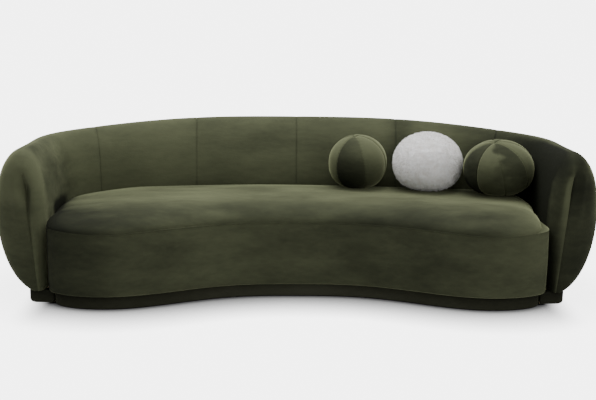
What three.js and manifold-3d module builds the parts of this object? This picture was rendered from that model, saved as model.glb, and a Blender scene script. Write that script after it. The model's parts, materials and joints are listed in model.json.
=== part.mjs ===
// A curved sofa: a bean-shaped seat held in the curve of a bowl-shaped back that wraps round into
// the two arms, on two low plinths, with three loose ball cushions.
// Millimetres. +X runs to the right seen from the front, +Y to the back, +Z up.
// Every plan is drawn from one line, the inside line: the foot of the back's inside face, which runs
// up the inside of the left arm, round behind the seat and down the inside of the right arm.
// While the sofa is drawn, y is 0 at the middle of that line. At the end the whole is moved so
// that the origin is on the floor, below the middle of the sofa's box.
import * as THREE from "three";
import { mergeVertices } from "three/addons/utils/BufferGeometryUtils.js";
import Module from "manifold-3d";

const wasm = await Module();
wasm.setup();

// Inside line
const insideHalfWidth = 1100;
const insideBackDepth = 330;
const insideRoundness = 3.4;
const insideDivisions = 3000;
const armStraight = 242;
const seamShares = [0, 0.327, 0.636, 1];
const stepsBetweenSeams = [2, 2, 7];

// Section of the back, out from the inside line and up from the floor, at its middle and at the arms
const middleSection = { crestOut: 150, crestHeight: 745, bellyOut: 285, bellyHeight: 430, footOut: 118 };
const armSection = { crestOut: 84, crestHeight: 676, bellyOut: 218, bellyHeight: 392, footOut: 76 };
const crestFallEndShare = 0.85;
const crestFallSharpness = 1.7;
const middleInsideRoundness = 1.6;
const armInsideRoundness = 2.2;
const outsideRoundness = 2.1;
const leanStartHeight = 425;
const underTurn = THREE.MathUtils.degToRad(84);
const sectionSteps = { inside: 4, outside: 4, under: 4 };

// Front end of an arm: the section draws in to a seam that runs down the middle of the end
const noseLength = 115;
const noseRoundness = 2.3;
const noseSeamTop = 571;
const noseSeamTopOut = 76;
const noseSeamFootOut = 30;
const noseShares = [0.4, 0.7, 0.88, 0.97, 1];
const noseSeamWidthShare = 0.07;

// Seat
const seatDepth = 578;
const seatBow = 214;
const seatBowSharpness = 3.2;
const seatCornerWidth = 262;
const seatCornerDepth = 148;
const seatCornerRoundness = 2.1;
const seatSeamHeight = 345;
const seatCrown = 80;
const seatFrontSwell = 8;
const frontSteps = 6;
const cornerSteps = 5;
const frontCrownSharpness = 3;
const sideCrownSharpness = 7;
const rearCrownSharpness = 9;
const crownRingShares = [0.97, 0.88, 0.72, 0.45, 0.15];
const seatSpineShare = 0.85;
const seatEdgeRoundShare = 0.7;
const seatEdgeLowShare = 0.35;
const seatEdgeHighShare = 1.2;
const seatEdgeHighSwellShare = 0.3;
const seatSwellHeightShare = 0.55;

// Skins and padding
const coverThickness = 6;
const seatSkirtThickness = 24;
const backFoamThickness = 25;
const weltRadius = 4;
const weltStandOut = 2;
const weltSides = 6;

// Plinths and glides
const plinthHeight = 62;
const plinthBoard = 18;
const plinthCoverThickness = 3;
const seatPlinthInset = 35;
const armPlinthInset = 14;
const armPlinthCorner = 38;
const armPlinthCornerSteps = 4;
const glideHeight = 4;
const glideRadius = 9;
const glideSides = 12;
const seatGlideSteps = [6, 2];
const backGlideShares = [1, 0.7, 0.3];

// Timber frames
const railThickness = 25;
const railHeight = 132;
const crossRailShares = [-0.7, 0, 0.7];
const webbingWidth = 70;
const webbingThickness = 2;
const webbingStrapCount = 9;
const webbingLengthwiseShares = [0.35, 0.65];
const dustCoverThickness = 1.5;
const basePlateThickness = 18;
const ribThickness = 18;
const ribShares = [-0.97, -0.755, -0.55, -0.25, 0, 0.25, 0.55, 0.755, 0.97];
const battenThickness = 22;
const battenWidth = 50;
const lowerBattenHeight = 130;
const crestBattenWidth = 40;
const crestBattenDrop = 22;
const crestBattenBehind = 14;
const bellyBattenInset = 3;
const battenEndInset = 9;

// Bolts that hold the seat to the back
const boltShares = [-0.52, -0.17, 0.17, 0.52];
const boltRadius = 4;
const boltHeadRadius = 8;
const boltHeadThickness = 5;
const boltSides = 8;

// Ball cushions: where the middle of each lies, as shares of the inside's half width and of its
// depth behind the arms, and its width, height, number of sewn panels and turn in degrees
const cushions = [
  {
    name: "left_green",
    acrossShare: 0.269,
    forwardShare: 0.327,
    width: 290,
    height: 272,
    panels: 6,
    turn: 24,
    colour: 0x4d5038,
  },
  {
    name: "white",
    acrossShare: 0.573,
    forwardShare: 0.46,
    width: 342,
    height: 290,
    panels: 8,
    turn: 0,
    colour: 0xc9c7c3,
  },
  {
    name: "right_green",
    acrossShare: 0.86,
    forwardShare: 0.846,
    width: 336,
    height: 274,
    panels: 8,
    turn: 8,
    colour: 0x43462f,
  },
];
const cushionCoverThickness = 3;
const cushionSink = 7;
const cushionSeamDepth = 4;
const cushionSeamSharpness = 8;
const cushionPointsRound = 24;
const cushionInsidePointsRound = 12;
const cushionRows = 8;
const zipLength = 120;
const zipWidth = 5;
const zipDropShare = 0.7;

// Clearances
const gap = 0.3;
const overrun = 4;

// Sizes that follow from the ones above
const seatClearance = weltStandOut + gap;
const seatSideX = insideHalfWidth - seatClearance;
const peakX = seatSideX - seatCornerWidth;
const seatFrontY = -(seatDepth + seatBow);
const baseHeight = plinthHeight + gap;
const frameTop = baseHeight + railHeight;
const foamFloor = frameTop + webbingThickness + 2 * gap;
const seatFoamInset = coverThickness + gap;
const seatFrameInset = seatFoamInset + seatSkirtThickness + gap;
const seatRailInside = seatFrameInset + railThickness;
const seatEdgeRound = seatEdgeRoundShare * seatSkirtThickness;
const backFoamInset = coverThickness + gap;
const backCoreInset = backFoamInset + backFoamThickness + gap;
const basePlateTop = baseHeight + basePlateThickness;
const plinthBottom = glideHeight + gap;
const backPlinthInsideOut = -(seatClearance + seatPlinthInset - gap);
const seamReach = gap / insideHalfWidth;
const skinFloor = baseHeight - overrun;
const coreFloor = basePlateTop - overrun;
const upwards = [0, 0, 1];
const downwards = [0, 0, -1];

const velvet = { colour: 0x44472f, roughness: 0.9, metalness: 0 };
const darkVelvet = { colour: 0x2a2c20, roughness: 0.9, metalness: 0 };
const foam = { colour: 0xe6dcb8, roughness: 1, metalness: 0 };
const plywood = { colour: 0xc8a775, roughness: 0.7, metalness: 0 };
const webbing = { colour: 0x6b5a41, roughness: 0.95, metalness: 0 };
const cambric = { colour: 0x1b1b1b, roughness: 1, metalness: 0 };
const fill = { colour: 0xf4f2ec, roughness: 1, metalness: 0 };
const plastic = { colour: 0x202020, roughness: 0.5, metalness: 0 };
const steel = { colour: 0xb4b6b8, roughness: 0.35, metalness: 1 };

// Solids

const { lerp, clamp, smoothstep } = THREE.MathUtils;

// The points of a flat ring in its own plane, for filling it with triangles.
function flattened(ring) {
  const normal = new THREE.Vector3();
  ring.forEach((p, i) => {
    const q = ring[(i + 1) % ring.length];
    normal.x += (p.y - q.y) * (p.z + q.z);
    normal.y += (p.z - q.z) * (p.x + q.x);
    normal.z += (p.x - q.x) * (p.y + q.y);
  });
  const turn = new THREE.Quaternion().setFromUnitVectors(normal.normalize(), new THREE.Vector3(0, 0, 1));
  return ring.map((p) => {
    const flat = p.clone().applyQuaternion(turn);
    return new THREE.Vector2(flat.x, flat.y);
  });
}

// A solid from closed rings that follow one another, each with the same number of points.
function loft(rings) {
  const around = rings[0].length;
  const triangles = [];
  for (let j = 0; j + 1 < rings.length; j++) {
    for (let i = 0; i < around; i++) {
      const next = (i + 1) % around;
      const [a, b, c, d] = [j * around + i, j * around + next, (j + 1) * around + next, (j + 1) * around + i];
      triangles.push([a, b, c], [a, c, d]);
    }
  }
  const last = (rings.length - 1) * around;
  for (const [a, b, c] of THREE.ShapeUtils.triangulateShape(flattened(rings[0]), [])) {
    triangles.push([c, b, a]);
  }
  for (const [a, b, c] of THREE.ShapeUtils.triangulateShape(flattened(rings.at(-1)), [])) {
    triangles.push([last + a, last + b, last + c]);
  }
  return solidFrom(rings.flat(), triangles);
}

// A manifold solid with its faces pointing out, from points and triangles.
function solidFrom(points, triangles) {
  let volume = 0;
  const cross = new THREE.Vector3();
  for (const [a, b, c] of triangles) volume += points[a].dot(cross.crossVectors(points[b], points[c]));
  const turned = volume < 0 ? triangles.map(([a, b, c]) => [a, c, b]) : triangles;
  return new wasm.Manifold(
    new wasm.Mesh({
      numProp: 3,
      vertProperties: new Float32Array(points.flatMap((p) => [p.x, p.y, p.z])),
      triVerts: new Uint32Array(turned.flat()),
    }),
  );
}

// A manifold solid from one of three.js's own closed geometries.
function solidOf(geometry) {
  const bare = geometry.clone();
  bare.deleteAttribute("normal");
  bare.deleteAttribute("uv");
  const merged = mergeVertices(bare);
  return new wasm.Manifold(
    new wasm.Mesh({
      numProp: 3,
      vertProperties: merged.attributes.position.array,
      triVerts: new Uint32Array(merged.index.array),
    }),
  );
}

function geometryOf(solid) {
  const mesh = solid.getMesh();
  const geometry = new THREE.BufferGeometry();
  geometry.setAttribute("position", new THREE.BufferAttribute(mesh.vertProperties, mesh.numProp));
  geometry.setIndex(new THREE.BufferAttribute(mesh.triVerts, 1));
  const flat = geometry.toNonIndexed();
  flat.computeVertexNormals();
  return flat;
}

// An upright prism on a closed outline of {x, y} points.
function prism(outline, bottom, top) {
  return loft([bottom, top].map((z) => outline.map((p) => new THREE.Vector3(p.x, p.y, z))));
}

function box(width, depth, height, centre) {
  return solidOf(new THREE.BoxGeometry(width, depth, height).translate(centre.x, centre.y, centre.z));
}

const sofa = new THREE.Group();

function add(name, solid, finish) {
  const material = new THREE.MeshStandardMaterial({
    color: finish.colour,
    roughness: finish.roughness,
    metalness: finish.metalness,
  });
  const mesh = new THREE.Mesh(geometryOf(solid), material);
  mesh.name = name;
  sofa.add(mesh);
}

// Inside line

// Straight up each arm and round behind the seat as a quarter of a squared ellipse at each side.
class InsideLine extends THREE.Curve {
  constructor() {
    super();
    this.arcLengthDivisions = insideDivisions;
  }
  getPoint(t) {
    const way = 2 * t - 1;
    const curvedShare = 1 - armStraight / (armStraight + insideHalfWidth + insideBackDepth);
    const x = Math.sign(way) * insideHalfWidth;
    if (Math.abs(way) >= curvedShare) {
      const forward = (Math.abs(way) - curvedShare) / (1 - curvedShare);
      return new THREE.Vector3(x, -insideBackDepth - forward * armStraight, 0);
    }
    const angle = (Math.abs(way) / curvedShare) * (Math.PI / 2);
    const power = 2 / insideRoundness;
    return new THREE.Vector3(
      x * Math.sin(angle) ** power,
      insideBackDepth * (Math.cos(angle) ** power - 1),
      0,
    );
  }
}
const insideLine = new InsideLine();
const insideLength = insideLine.getLength();

// Where a share of the way from the middle to an arm's end lies: its place, the way along the line
// and the way out, square to it.
function stationAt(share) {
  const u = clamp((share + 1) / 2, 0, 1);
  const place = insideLine.getPointAt(u);
  const along = insideLine.getTangentAt(u);
  return { share, place, along, out: new THREE.Vector3(-along.y, along.x, 0) };
}

// Shares of the right half's stations, with one on each seam of the cover.
const rightShares = seamShares.slice(1).flatMap((to, k) => {
  const from = seamShares[k];
  const steps = stepsBetweenSeams[k];
  return Array.from({ length: steps }, (_, i) => lerp(from, to, (i + 1) / steps));
});
const allShares = [...rightShares.map((s) => -s).reverse(), seamShares[0], ...rightShares];
const middleStation = rightShares.length;

// Back: section, ends and sweep

function sectionSizes(share) {
  const towardsArm = smoothstep(Math.abs(share), seamShares[0], seamShares[3]);
  const sizes = { insideRoundness: lerp(middleInsideRoundness, armInsideRoundness, towardsArm) };
  for (const key of Object.keys(middleSection)) {
    sizes[key] = lerp(middleSection[key], armSection[key], towardsArm);
  }
  // The crest stays high behind the seat and comes down to the arm's height before the arm's end.
  const fallen = smoothstep((Math.abs(share) / crestFallEndShare) ** crestFallSharpness, seamShares[0], seamShares[3]);
  sizes.crestHeight = lerp(middleSection.crestHeight, armSection.crestHeight, fallen);
  return sizes;
}

// The section as points {n, z}: n out from the inside line, z up. It goes up the inside face, over
// the crest, down over the belly and in under it to the foot, and is drawn in by inset all round.
function backSection(share, inset) {
  const s = sectionSizes(share);
  const points = [
    { n: 0, z: plinthHeight },
    { n: 0, z: leanStartHeight },
  ];
  const quarter = Math.PI / 2;
  for (let k = 1; k <= sectionSteps.inside; k++) {
    const angle = (k / sectionSteps.inside) * quarter;
    const power = 2 / s.insideRoundness;
    points.push({
      n: s.crestOut * (1 - Math.cos(angle) ** power),
      z: leanStartHeight + (s.crestHeight - leanStartHeight) * Math.sin(angle) ** power,
    });
  }
  for (let k = 1; k <= sectionSteps.outside; k++) {
    const angle = (k / sectionSteps.outside) * quarter;
    const power = 2 / outsideRoundness;
    points.push({
      n: s.crestOut + (s.bellyOut - s.crestOut) * Math.sin(angle) ** power,
      z: s.bellyHeight + (s.crestHeight - s.bellyHeight) * Math.abs(Math.cos(angle)) ** power,
    });
  }
  for (let k = 1; k <= sectionSteps.under; k++) {
    const angle = (k / sectionSteps.under) * underTurn;
    const inward = (1 - Math.cos(angle)) / (1 - Math.cos(underTurn));
    points.push({
      n: s.bellyOut - (s.bellyOut - s.footOut) * inward,
      z: s.bellyHeight - ((s.bellyHeight - plinthHeight) * Math.sin(angle)) / Math.sin(underTurn),
    });
  }
  return closedAt(inset > backFoamInset ? coreFloor : skinFloor, drawnIn(points, inset));
}

// An open outline moved square to itself by inset, to the right of the way it runs.
function drawnIn(points, inset) {
  return points.map((p, i) => {
    const before = points[Math.max(i - 1, 0)];
    const after = points[Math.min(i + 1, points.length - 1)];
    const length = Math.hypot(after.n - before.n, after.z - before.z);
    return {
      n: p.n + (inset * (after.z - before.z)) / length,
      z: p.z - (inset * (after.n - before.n)) / length,
    };
  });
}

// The same outline with both ends brought to one height, the last along its own slope.
function closedAt(floor, points) {
  const [p, q] = points.slice(-2);
  const slope = (q.n - p.n) / (q.z - p.z);
  return [{ n: points[0].n, z: floor }, ...points.slice(1, -1), { n: q.n + slope * (floor - q.z), z: floor }];
}

function placed(station, section, forward = 0) {
  const end = Math.sign(station.share) * forward;
  return section.map(({ n, z }) =>
    station.place
      .clone()
      .addScaledVector(station.out, n)
      .addScaledVector(station.along, end)
      .setZ(z),
  );
}

// The rings of an arm's rounded front end, from the last full section to the seam.
function noseRings(side, inset) {
  const station = stationAt(side);
  const section = backSection(side, inset);
  return noseShares.map((share, i) => {
    const last = i === noseShares.length - 1;
    const narrow = last ? noseSeamWidthShare : (1 - share ** noseRoundness) ** (1 / noseRoundness);
    const drawn = section.map(({ n, z }) => {
      const seamZ = Math.min(z, noseSeamTop);
      const up = (seamZ - plinthHeight) / (noseSeamTop - plinthHeight);
      const seamN = lerp(noseSeamFootOut, noseSeamTopOut, up);
      return { n: lerp(seamN, n, narrow), z: lerp(seamZ, z, narrow) };
    });
    return placed(station, drawn, share * (noseLength - inset));
  });
}

// The back's solid between two shares, drawn in by inset, with an arm's end where a share is 1 or -1.
function backSolid(from, to, inset, floor) {
  const between = allShares.filter((s) => s > from + seamReach && s < to - seamReach);
  const rings = [from, ...between, to].map((s) => placed(stationAt(s), backSection(s, inset)));
  if (from <= -1) rings.unshift(...noseRings(-1, inset).reverse());
  if (to >= 1) rings.push(...noseRings(1, inset));
  return loft(rings).trimByPlane(upwards, floor);
}

// A strip swept along the inside line between two shares, on a section of {n, z} points that may
// change on the way.
function sweep(from, to, sectionAt) {
  const between = allShares.filter((s) => s > from && s < to);
  return loft([from, ...between, to].map((s) => placed(stationAt(s), sectionAt(s))));
}

function rectangle(n, z, width, height) {
  return [
    { n, z },
    { n: n + width, z },
    { n: n + width, z: z + height },
    { n, z: z + height },
  ];
}

// Seat: outline, rings and crown

function frontEdgeY(x) {
  const share = clamp(Math.abs(x) / peakX, 0, 1);
  return -seatDepth - seatBow * Math.sin((share * Math.PI) / 2) ** seatBowSharpness;
}

// The right half of the seat's outline from the middle of the front to the middle of the back.
function rightHalfOutline() {
  const points = [];
  for (let k = 0; k <= frontSteps; k++) {
    const x = (peakX * k) / frontSteps;
    points.push(new THREE.Vector2(x, frontEdgeY(x)));
  }
  for (let k = 1; k <= cornerSteps; k++) {
    const angle = (k / cornerSteps) * (Math.PI / 2);
    const power = 2 / seatCornerRoundness;
    points.push(
      new THREE.Vector2(
        peakX + seatCornerWidth * Math.sin(angle) ** power,
        seatFrontY + seatCornerDepth * (1 - Math.abs(Math.cos(angle)) ** power),
      ),
    );
  }
  for (const share of allShares.slice(middleStation).reverse()) {
    const { place, out } = stationAt(share);
    points.push(new THREE.Vector2(place.x - out.x * seatClearance, place.y - out.y * seatClearance));
  }
  return points;
}

// The whole outline, anticlockwise from the middle of the front, each point with its way out.
function seatOutline() {
  const right = rightHalfOutline();
  const left = right.slice(1, -1).map((p) => new THREE.Vector2(-p.x, p.y));
  const points = [...right, ...left.reverse()];
  return points.map((p, i) => {
    const before = points[(i + points.length - 1) % points.length];
    const after = points[(i + 1) % points.length];
    const way = after.clone().sub(before).normalize();
    const turn = after.clone().sub(p).normalize().dot(p.clone().sub(before).normalize());
    // A corner's point moves further than its edges do, so that the edges stay parallel.
    const stretch = 1 / Math.sqrt((1 + turn) / 2);
    return { x: p.x, y: p.y, out: new THREE.Vector2(way.y, -way.x).multiplyScalar(stretch) };
  });
}
const outline = seatOutline();

function outlineInset(inset) {
  return outline.map(({ x, y, out }) => ({ x: x - out.x * inset, y: y - out.y * inset }));
}

// How much a point of the outline belongs to the front, from 0 behind the bend of the back to 1.
function frontness(p) {
  return 1 - smoothstep(p.y, -seatDepth, -insideBackDepth);
}

function crownSharpness(p) {
  const facesBack = Math.max(p.out.y, 0) ** 2;
  const behind = lerp(sideCrownSharpness, rearCrownSharpness, facesBack);
  return lerp(behind, frontCrownSharpness, frontness(p));
}

// The point on the seat's spine, midway between front and back, that an outline point heads for.
function spinePoint(p) {
  const x = clamp(p.x, -peakX * seatSpineShare, peakX * seatSpineShare);
  const across = Math.abs(x) / insideHalfWidth;
  const back = insideBackDepth * ((1 - across ** insideRoundness) ** (1 / insideRoundness) - 1);
  return new THREE.Vector2(x, (frontEdgeY(x) + back) / 2);
}

// How far the border swells out in the middle of its height, which it does only where it is free.
function swellOf(p) {
  return seatFrontSwell * Math.max(-p.out.y, 0) ** 2;
}

// Rings of the seat's sides, from the rounded lower edge up past the swell to the seam.
function seatSideRings(inset, bottom, top) {
  const levels = [
    { z: bottom, inward: seatEdgeRound, swell: 0 },
    { z: baseHeight + seatEdgeLowShare * seatEdgeRound, inward: seatEdgeLowShare * seatEdgeRound, swell: 0 },
    { z: baseHeight + seatEdgeHighShare * seatEdgeRound, inward: 0, swell: seatEdgeHighSwellShare },
    { z: lerp(baseHeight, seatSeamHeight, seatSwellHeightShare), inward: 0, swell: 1 },
    { z: top, inward: 0, swell: 0 },
  ];
  return levels.map(({ z, inward, swell }) =>
    outline.map((p) => {
      const move = inset + inward - swell * swellOf(p);
      return new THREE.Vector3(p.x - p.out.x * move, p.y - p.out.y * move, z);
    }),
  );
}

function edgeRing(inset, z) {
  return outlineInset(inset).map((p) => new THREE.Vector3(p.x, p.y, z));
}

// Rings of the crowned top, from near the seam in to the spine.
function crownRings(inset) {
  const edge = outlineInset(inset);
  return crownRingShares.map((share) =>
    outline.map((p, i) => {
      const spine = spinePoint(p);
      const rise = (1 - share ** crownSharpness(p)) ** 0.5;
      return new THREE.Vector3(
        lerp(spine.x, edge[i].x, share),
        lerp(spine.y, edge[i].y, share),
        seatSeamHeight + (seatCrown - inset) * rise,
      );
    }),
  );
}

function seatSolid(inset, bottom) {
  return loft([...seatSideRings(inset, bottom, seatSeamHeight), ...crownRings(inset)]);
}

// Joining bolts

// A place on the straight facet between two stations, with the way out square to the facet.
function facetAt(share) {
  const next = allShares.findIndex((s) => s > share);
  const [from, to] = [stationAt(allShares[next - 1]), stationAt(allShares[next])];
  const along = to.place.clone().sub(from.place).normalize();
  const part = (share - from.share) / (to.share - from.share);
  const place = from.place.clone().lerp(to.place, part);
  return { place, out: new THREE.Vector3(-along.y, along.x, 0) };
}

// A cylinder square to the inside line at a share, from one distance out to another.
function cylinderOut(share, radius, from, to) {
  const { place, out } = facetAt(share);
  const geometry = new THREE.CylinderGeometry(radius, radius, to - from, boltSides)
    .applyQuaternion(new THREE.Quaternion().setFromUnitVectors(new THREE.Vector3(0, 1, 0), out))
    .translate(
      place.x + (out.x * (from + to)) / 2,
      place.y + (out.y * (from + to)) / 2,
      lowerBattenHeight,
    );
  return solidOf(geometry);
}

const boltHeadIn = -(seatClearance + seatRailInside + gap);
const boltTipOut = backCoreInset + battenThickness;

function withBoltHoles(solid) {
  return boltShares.reduce(
    (cut, share) =>
      cut.subtract(cylinderOut(share, boltRadius + gap, boltHeadIn - overrun, boltTipOut + overrun)),
    solid,
  );
}

function addBolts() {
  boltShares.forEach((share, i) => {
    const shank = cylinderOut(share, boltRadius, boltHeadIn - boltHeadThickness / 2, boltTipOut);
    const head = cylinderOut(share, boltHeadRadius, boltHeadIn - boltHeadThickness, boltHeadIn);
    add(`joining_bolt_${i + 1}`, shank.add(head), steel);
  });
}

// Seat unit

function addSeatCovers() {
  const weltRoom = weltRadius + gap;
  const sideOuter = loft(seatSideRings(0, baseHeight, seatSeamHeight - weltRoom));
  const sideInner = loft(seatSideRings(coverThickness, baseHeight - overrun, seatSeamHeight + overrun));
  add("seat_border_cover", withBoltHoles(sideOuter.subtract(sideInner)), velvet);
  const topOuter = loft([edgeRing(0, seatSeamHeight + weltRoom), ...crownRings(0)]);
  const inside = [seatSeamHeight - overrun, seatSeamHeight].map((z) => edgeRing(coverThickness, z));
  add("seat_top_cover", topOuter.subtract(loft([...inside, ...crownRings(coverThickness)])), velvet);
}

// The welt is a closed hoop of covered cord along the seam between the top and the border.
function addSeatWelt() {
  const rings = outline.map(({ x, y, out }) => {
    const inward = weltRadius - weltStandOut;
    const centre = new THREE.Vector3(x - out.x * inward, y - out.y * inward, seatSeamHeight);
    return Array.from({ length: weltSides }, (_, k) => {
      const angle = (k / weltSides) * 2 * Math.PI;
      const away = weltRadius * Math.cos(angle);
      return new THREE.Vector3(
        centre.x + out.x * away,
        centre.y + out.y * away,
        centre.z + weltRadius * Math.sin(angle),
      );
    });
  });
  const triangles = [];
  rings.forEach((_, j) => {
    const after = (j + 1) % rings.length;
    for (let k = 0; k < weltSides; k++) {
      const next = (k + 1) % weltSides;
      const [a, b] = [j * weltSides + k, j * weltSides + next];
      const [c, d] = [after * weltSides + next, after * weltSides + k];
      triangles.push([a, b, c], [a, c, d]);
    }
  });
  add("seat_welt", solidFrom(rings.flat(), triangles), velvet);
}

function addSeatFoam() {
  const block = seatSolid(seatFoamInset, baseHeight);
  const hollow = prism(outlineInset(seatFrameInset - gap), baseHeight - overrun, foamFloor);
  add("seat_foam", withBoltHoles(block.subtract(hollow)), foam);
}

// A rail of the seat frame that follows the outline from one of its points to another.
function outlineRail(from, to) {
  const outer = outlineInset(seatFrameInset);
  const inner = outlineInset(seatRailInside);
  const count = outline.length;
  const line = (points) =>
    Array.from({ length: to - from + 1 }, (_, i) => ({ ...points[(from + i + count) % count] }));
  const pulledBack = (points) => {
    const ends = [
      [0, 1],
      [points.length - 1, points.length - 2],
    ];
    for (const [end, next] of ends) {
      const length = Math.hypot(points[next].x - points[end].x, points[next].y - points[end].y);
      points[end].x += ((points[next].x - points[end].x) * gap) / length;
      points[end].y += ((points[next].y - points[end].y) * gap) / length;
    }
    return points;
  };
  return prism([...pulledBack(line(outer)), ...pulledBack(line(inner)).reverse()], baseHeight, frameTop);
}

function addSeatFrame() {
  const corner = frontSteps + cornerSteps;
  const bend = corner + stepsBetweenSeams[2] - 1;
  const count = outline.length;
  add("seat_front_rail", outlineRail(-corner, corner), plywood);
  add("seat_right_rail", outlineRail(corner, bend), plywood);
  add("seat_rear_rail", withBoltHoles(outlineRail(bend, count - bend)), plywood);
  add("seat_left_rail", outlineRail(count - bend, count - corner), plywood);

  const well = prism(outlineInset(seatRailInside + gap), baseHeight, frameTop);
  const middleY = -seatDepth / 2;
  crossRailShares.forEach((share, i) => {
    const centre = new THREE.Vector3(share * peakX, middleY, baseHeight + railHeight / 2);
    const board = box(railThickness, 2 * (seatDepth + seatBow), railHeight, centre);
    add(`seat_cross_rail_${i + 1}`, board.intersect(well), plywood);
  });
}

// The straps run front to back over the rails, with lengthwise straps stitched across them.
function addWebbing() {
  const bottom = frameTop + gap;
  const middle = bottom + webbingThickness / 2;
  const area = prism(outlineInset(seatFrameInset), bottom, bottom + webbingThickness);
  const spacing = (2 * peakX) / (webbingStrapCount - 1);
  const straps = Array.from({ length: webbingStrapCount }, (_, i) =>
    box(
      webbingWidth,
      2 * (seatDepth + seatBow),
      2 * webbingThickness,
      new THREE.Vector3(-peakX + i * spacing, -seatDepth / 2, middle),
    ),
  );
  const lengthwise = webbingLengthwiseShares.map((share) =>
    box(2 * insideHalfWidth, webbingWidth, 2 * webbingThickness, new THREE.Vector3(0, -share * seatDepth, middle)),
  );
  const lattice = [...straps, ...lengthwise].reduce((all, strap) => all.add(strap));
  add("seat_webbing", lattice.intersect(area), webbing);
}

function addSeatDustCover() {
  const edge = outlineInset(seatPlinthInset + plinthCoverThickness + plinthBoard + 3 * gap);
  add("seat_dust_cover", prism(edge, plinthHeight - dustCoverThickness, plinthHeight), cambric);
}

// Back unit

function addBackCover() {
  const seams = [...seamShares.slice(1).map((s) => -s).reverse(), ...seamShares];
  const halfGap = gap / insideLength;
  const inside = backSolid(-1, 1, coverThickness, skinFloor);
  for (let k = 0; k + 1 < seams.length; k++) {
    const from = k === 0 ? seams[k] : seams[k] + halfGap;
    const to = k + 2 === seams.length ? seams[k + 1] : seams[k + 1] - halfGap;
    const outer = backSolid(from, to, 0, baseHeight);
    add(`back_cover_panel_${k + 1}`, withBoltHoles(outer.subtract(inside)), velvet);
  }
}

function addBackFoam() {
  const outer = backSolid(-1, 1, backFoamInset, basePlateTop + gap);
  const inner = backSolid(-1, 1, backFoamInset + backFoamThickness, basePlateTop - overrun);
  add("back_foam", withBoltHoles(outer.subtract(inner)), foam);
}

function addBasePlate() {
  const block = backSolid(-1, 1, backFoamInset, baseHeight);
  add("back_base_plate", block.trimByPlane(downwards, -basePlateTop), plywood);
}

// Battens run the length of the back. Each stands in notches that are open to the rib's edge.
const battens = [
  {
    name: "back_crest_batten",
    section: (share, room) => {
      const s = sectionSizes(share);
      const top = s.crestHeight - backCoreInset - crestBattenDrop;
      const n = s.crestOut + crestBattenBehind - crestBattenWidth / 2;
      const z = top - battenThickness;
      return rectangle(n - room, z - room, crestBattenWidth + 2 * room, battenThickness + room);
    },
    opening: { n: 0, z: 1 },
  },
  {
    name: "back_belly_batten",
    section: (share, room) => {
      const s = sectionSizes(share);
      const n = s.bellyOut - backCoreInset - bellyBattenInset - battenThickness;
      const z = s.bellyHeight - battenWidth / 2;
      return rectangle(n - room, z - room, battenThickness + room, battenWidth + 2 * room);
    },
    opening: { n: 1, z: 0 },
  },
  {
    name: "back_lower_batten",
    section: (share, room) => {
      const z = lowerBattenHeight - battenWidth / 2;
      return rectangle(backCoreInset, z - room, battenThickness + room, battenWidth + 2 * room);
    },
    opening: { n: -1, z: 0 },
  },
];

const battenEnd = 1 - (2 * battenEndInset) / insideLength;

// The batten's notch: its section with room round it, drawn out past the rib's edge on one side.
function notchSection(batten, share) {
  const reach = 2 * battenWidth;
  const { n: alongN, z: alongZ } = batten.opening;
  const points = batten.section(share, gap);
  const middleN = (points[0].n + points[1].n) / 2;
  const middleZ = (points[1].z + points[2].z) / 2;
  return points.map(({ n, z }) => ({
    n: alongN * (n - middleN) > 0 ? n + alongN * reach : n,
    z: alongZ * (z - middleZ) > 0 ? z + alongZ * reach : z,
  }));
}

function addBackFrame() {
  for (const batten of battens) {
    const bar = sweep(-battenEnd, battenEnd, (share) => batten.section(share, 0));
    add(batten.name, batten.name === "back_lower_batten" ? withBoltHoles(bar) : bar, plywood);
  }
  const core = backSolid(-1, 1, backCoreInset, basePlateTop + gap);
  const notches = battens
    .map((batten) => sweep(-1, 1, (share) => notchSection(batten, share)))
    .reduce((all, notch) => all.add(notch));
  const uprights = core.subtract(notches);
  ribShares.forEach((share, i) => {
    const { place, along } = stationAt(share);
    const s = sectionSizes(share);
    const size = s.crestHeight + s.bellyOut;
    const slab = new THREE.BoxGeometry(2 * size, ribThickness, 2 * size)
      .rotateZ(Math.atan2(along.y, along.x) + Math.PI / 2)
      .translate(place.x, place.y, 0);
    const rib = uprights.intersect(solidOf(slab));
    const near = rib.decompose().sort((a, b) => distanceTo(a, place) - distanceTo(b, place))[0];
    add(`back_rib_${i + 1}`, near, plywood);
  });
}

function distanceTo(solid, place) {
  const { min, max } = solid.boundingBox();
  return Math.hypot((min[0] + max[0]) / 2 - place.x, (min[1] + max[1]) / 2 - place.y);
}

// Plinths

function addSeatPlinth() {
  const ring = (outer, inner) =>
    prism(outlineInset(outer), plinthBottom, plinthHeight).subtract(
      prism(outlineInset(inner), plinthBottom - overrun, plinthHeight + overrun),
    );
  const boardInset = seatPlinthInset + plinthCoverThickness + gap;
  add("seat_plinth_cover", ring(seatPlinthInset, seatPlinthInset + plinthCoverThickness), darkVelvet);
  add("seat_plinth_board", ring(boardInset, boardInset + plinthBoard), plywood);
}

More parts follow.
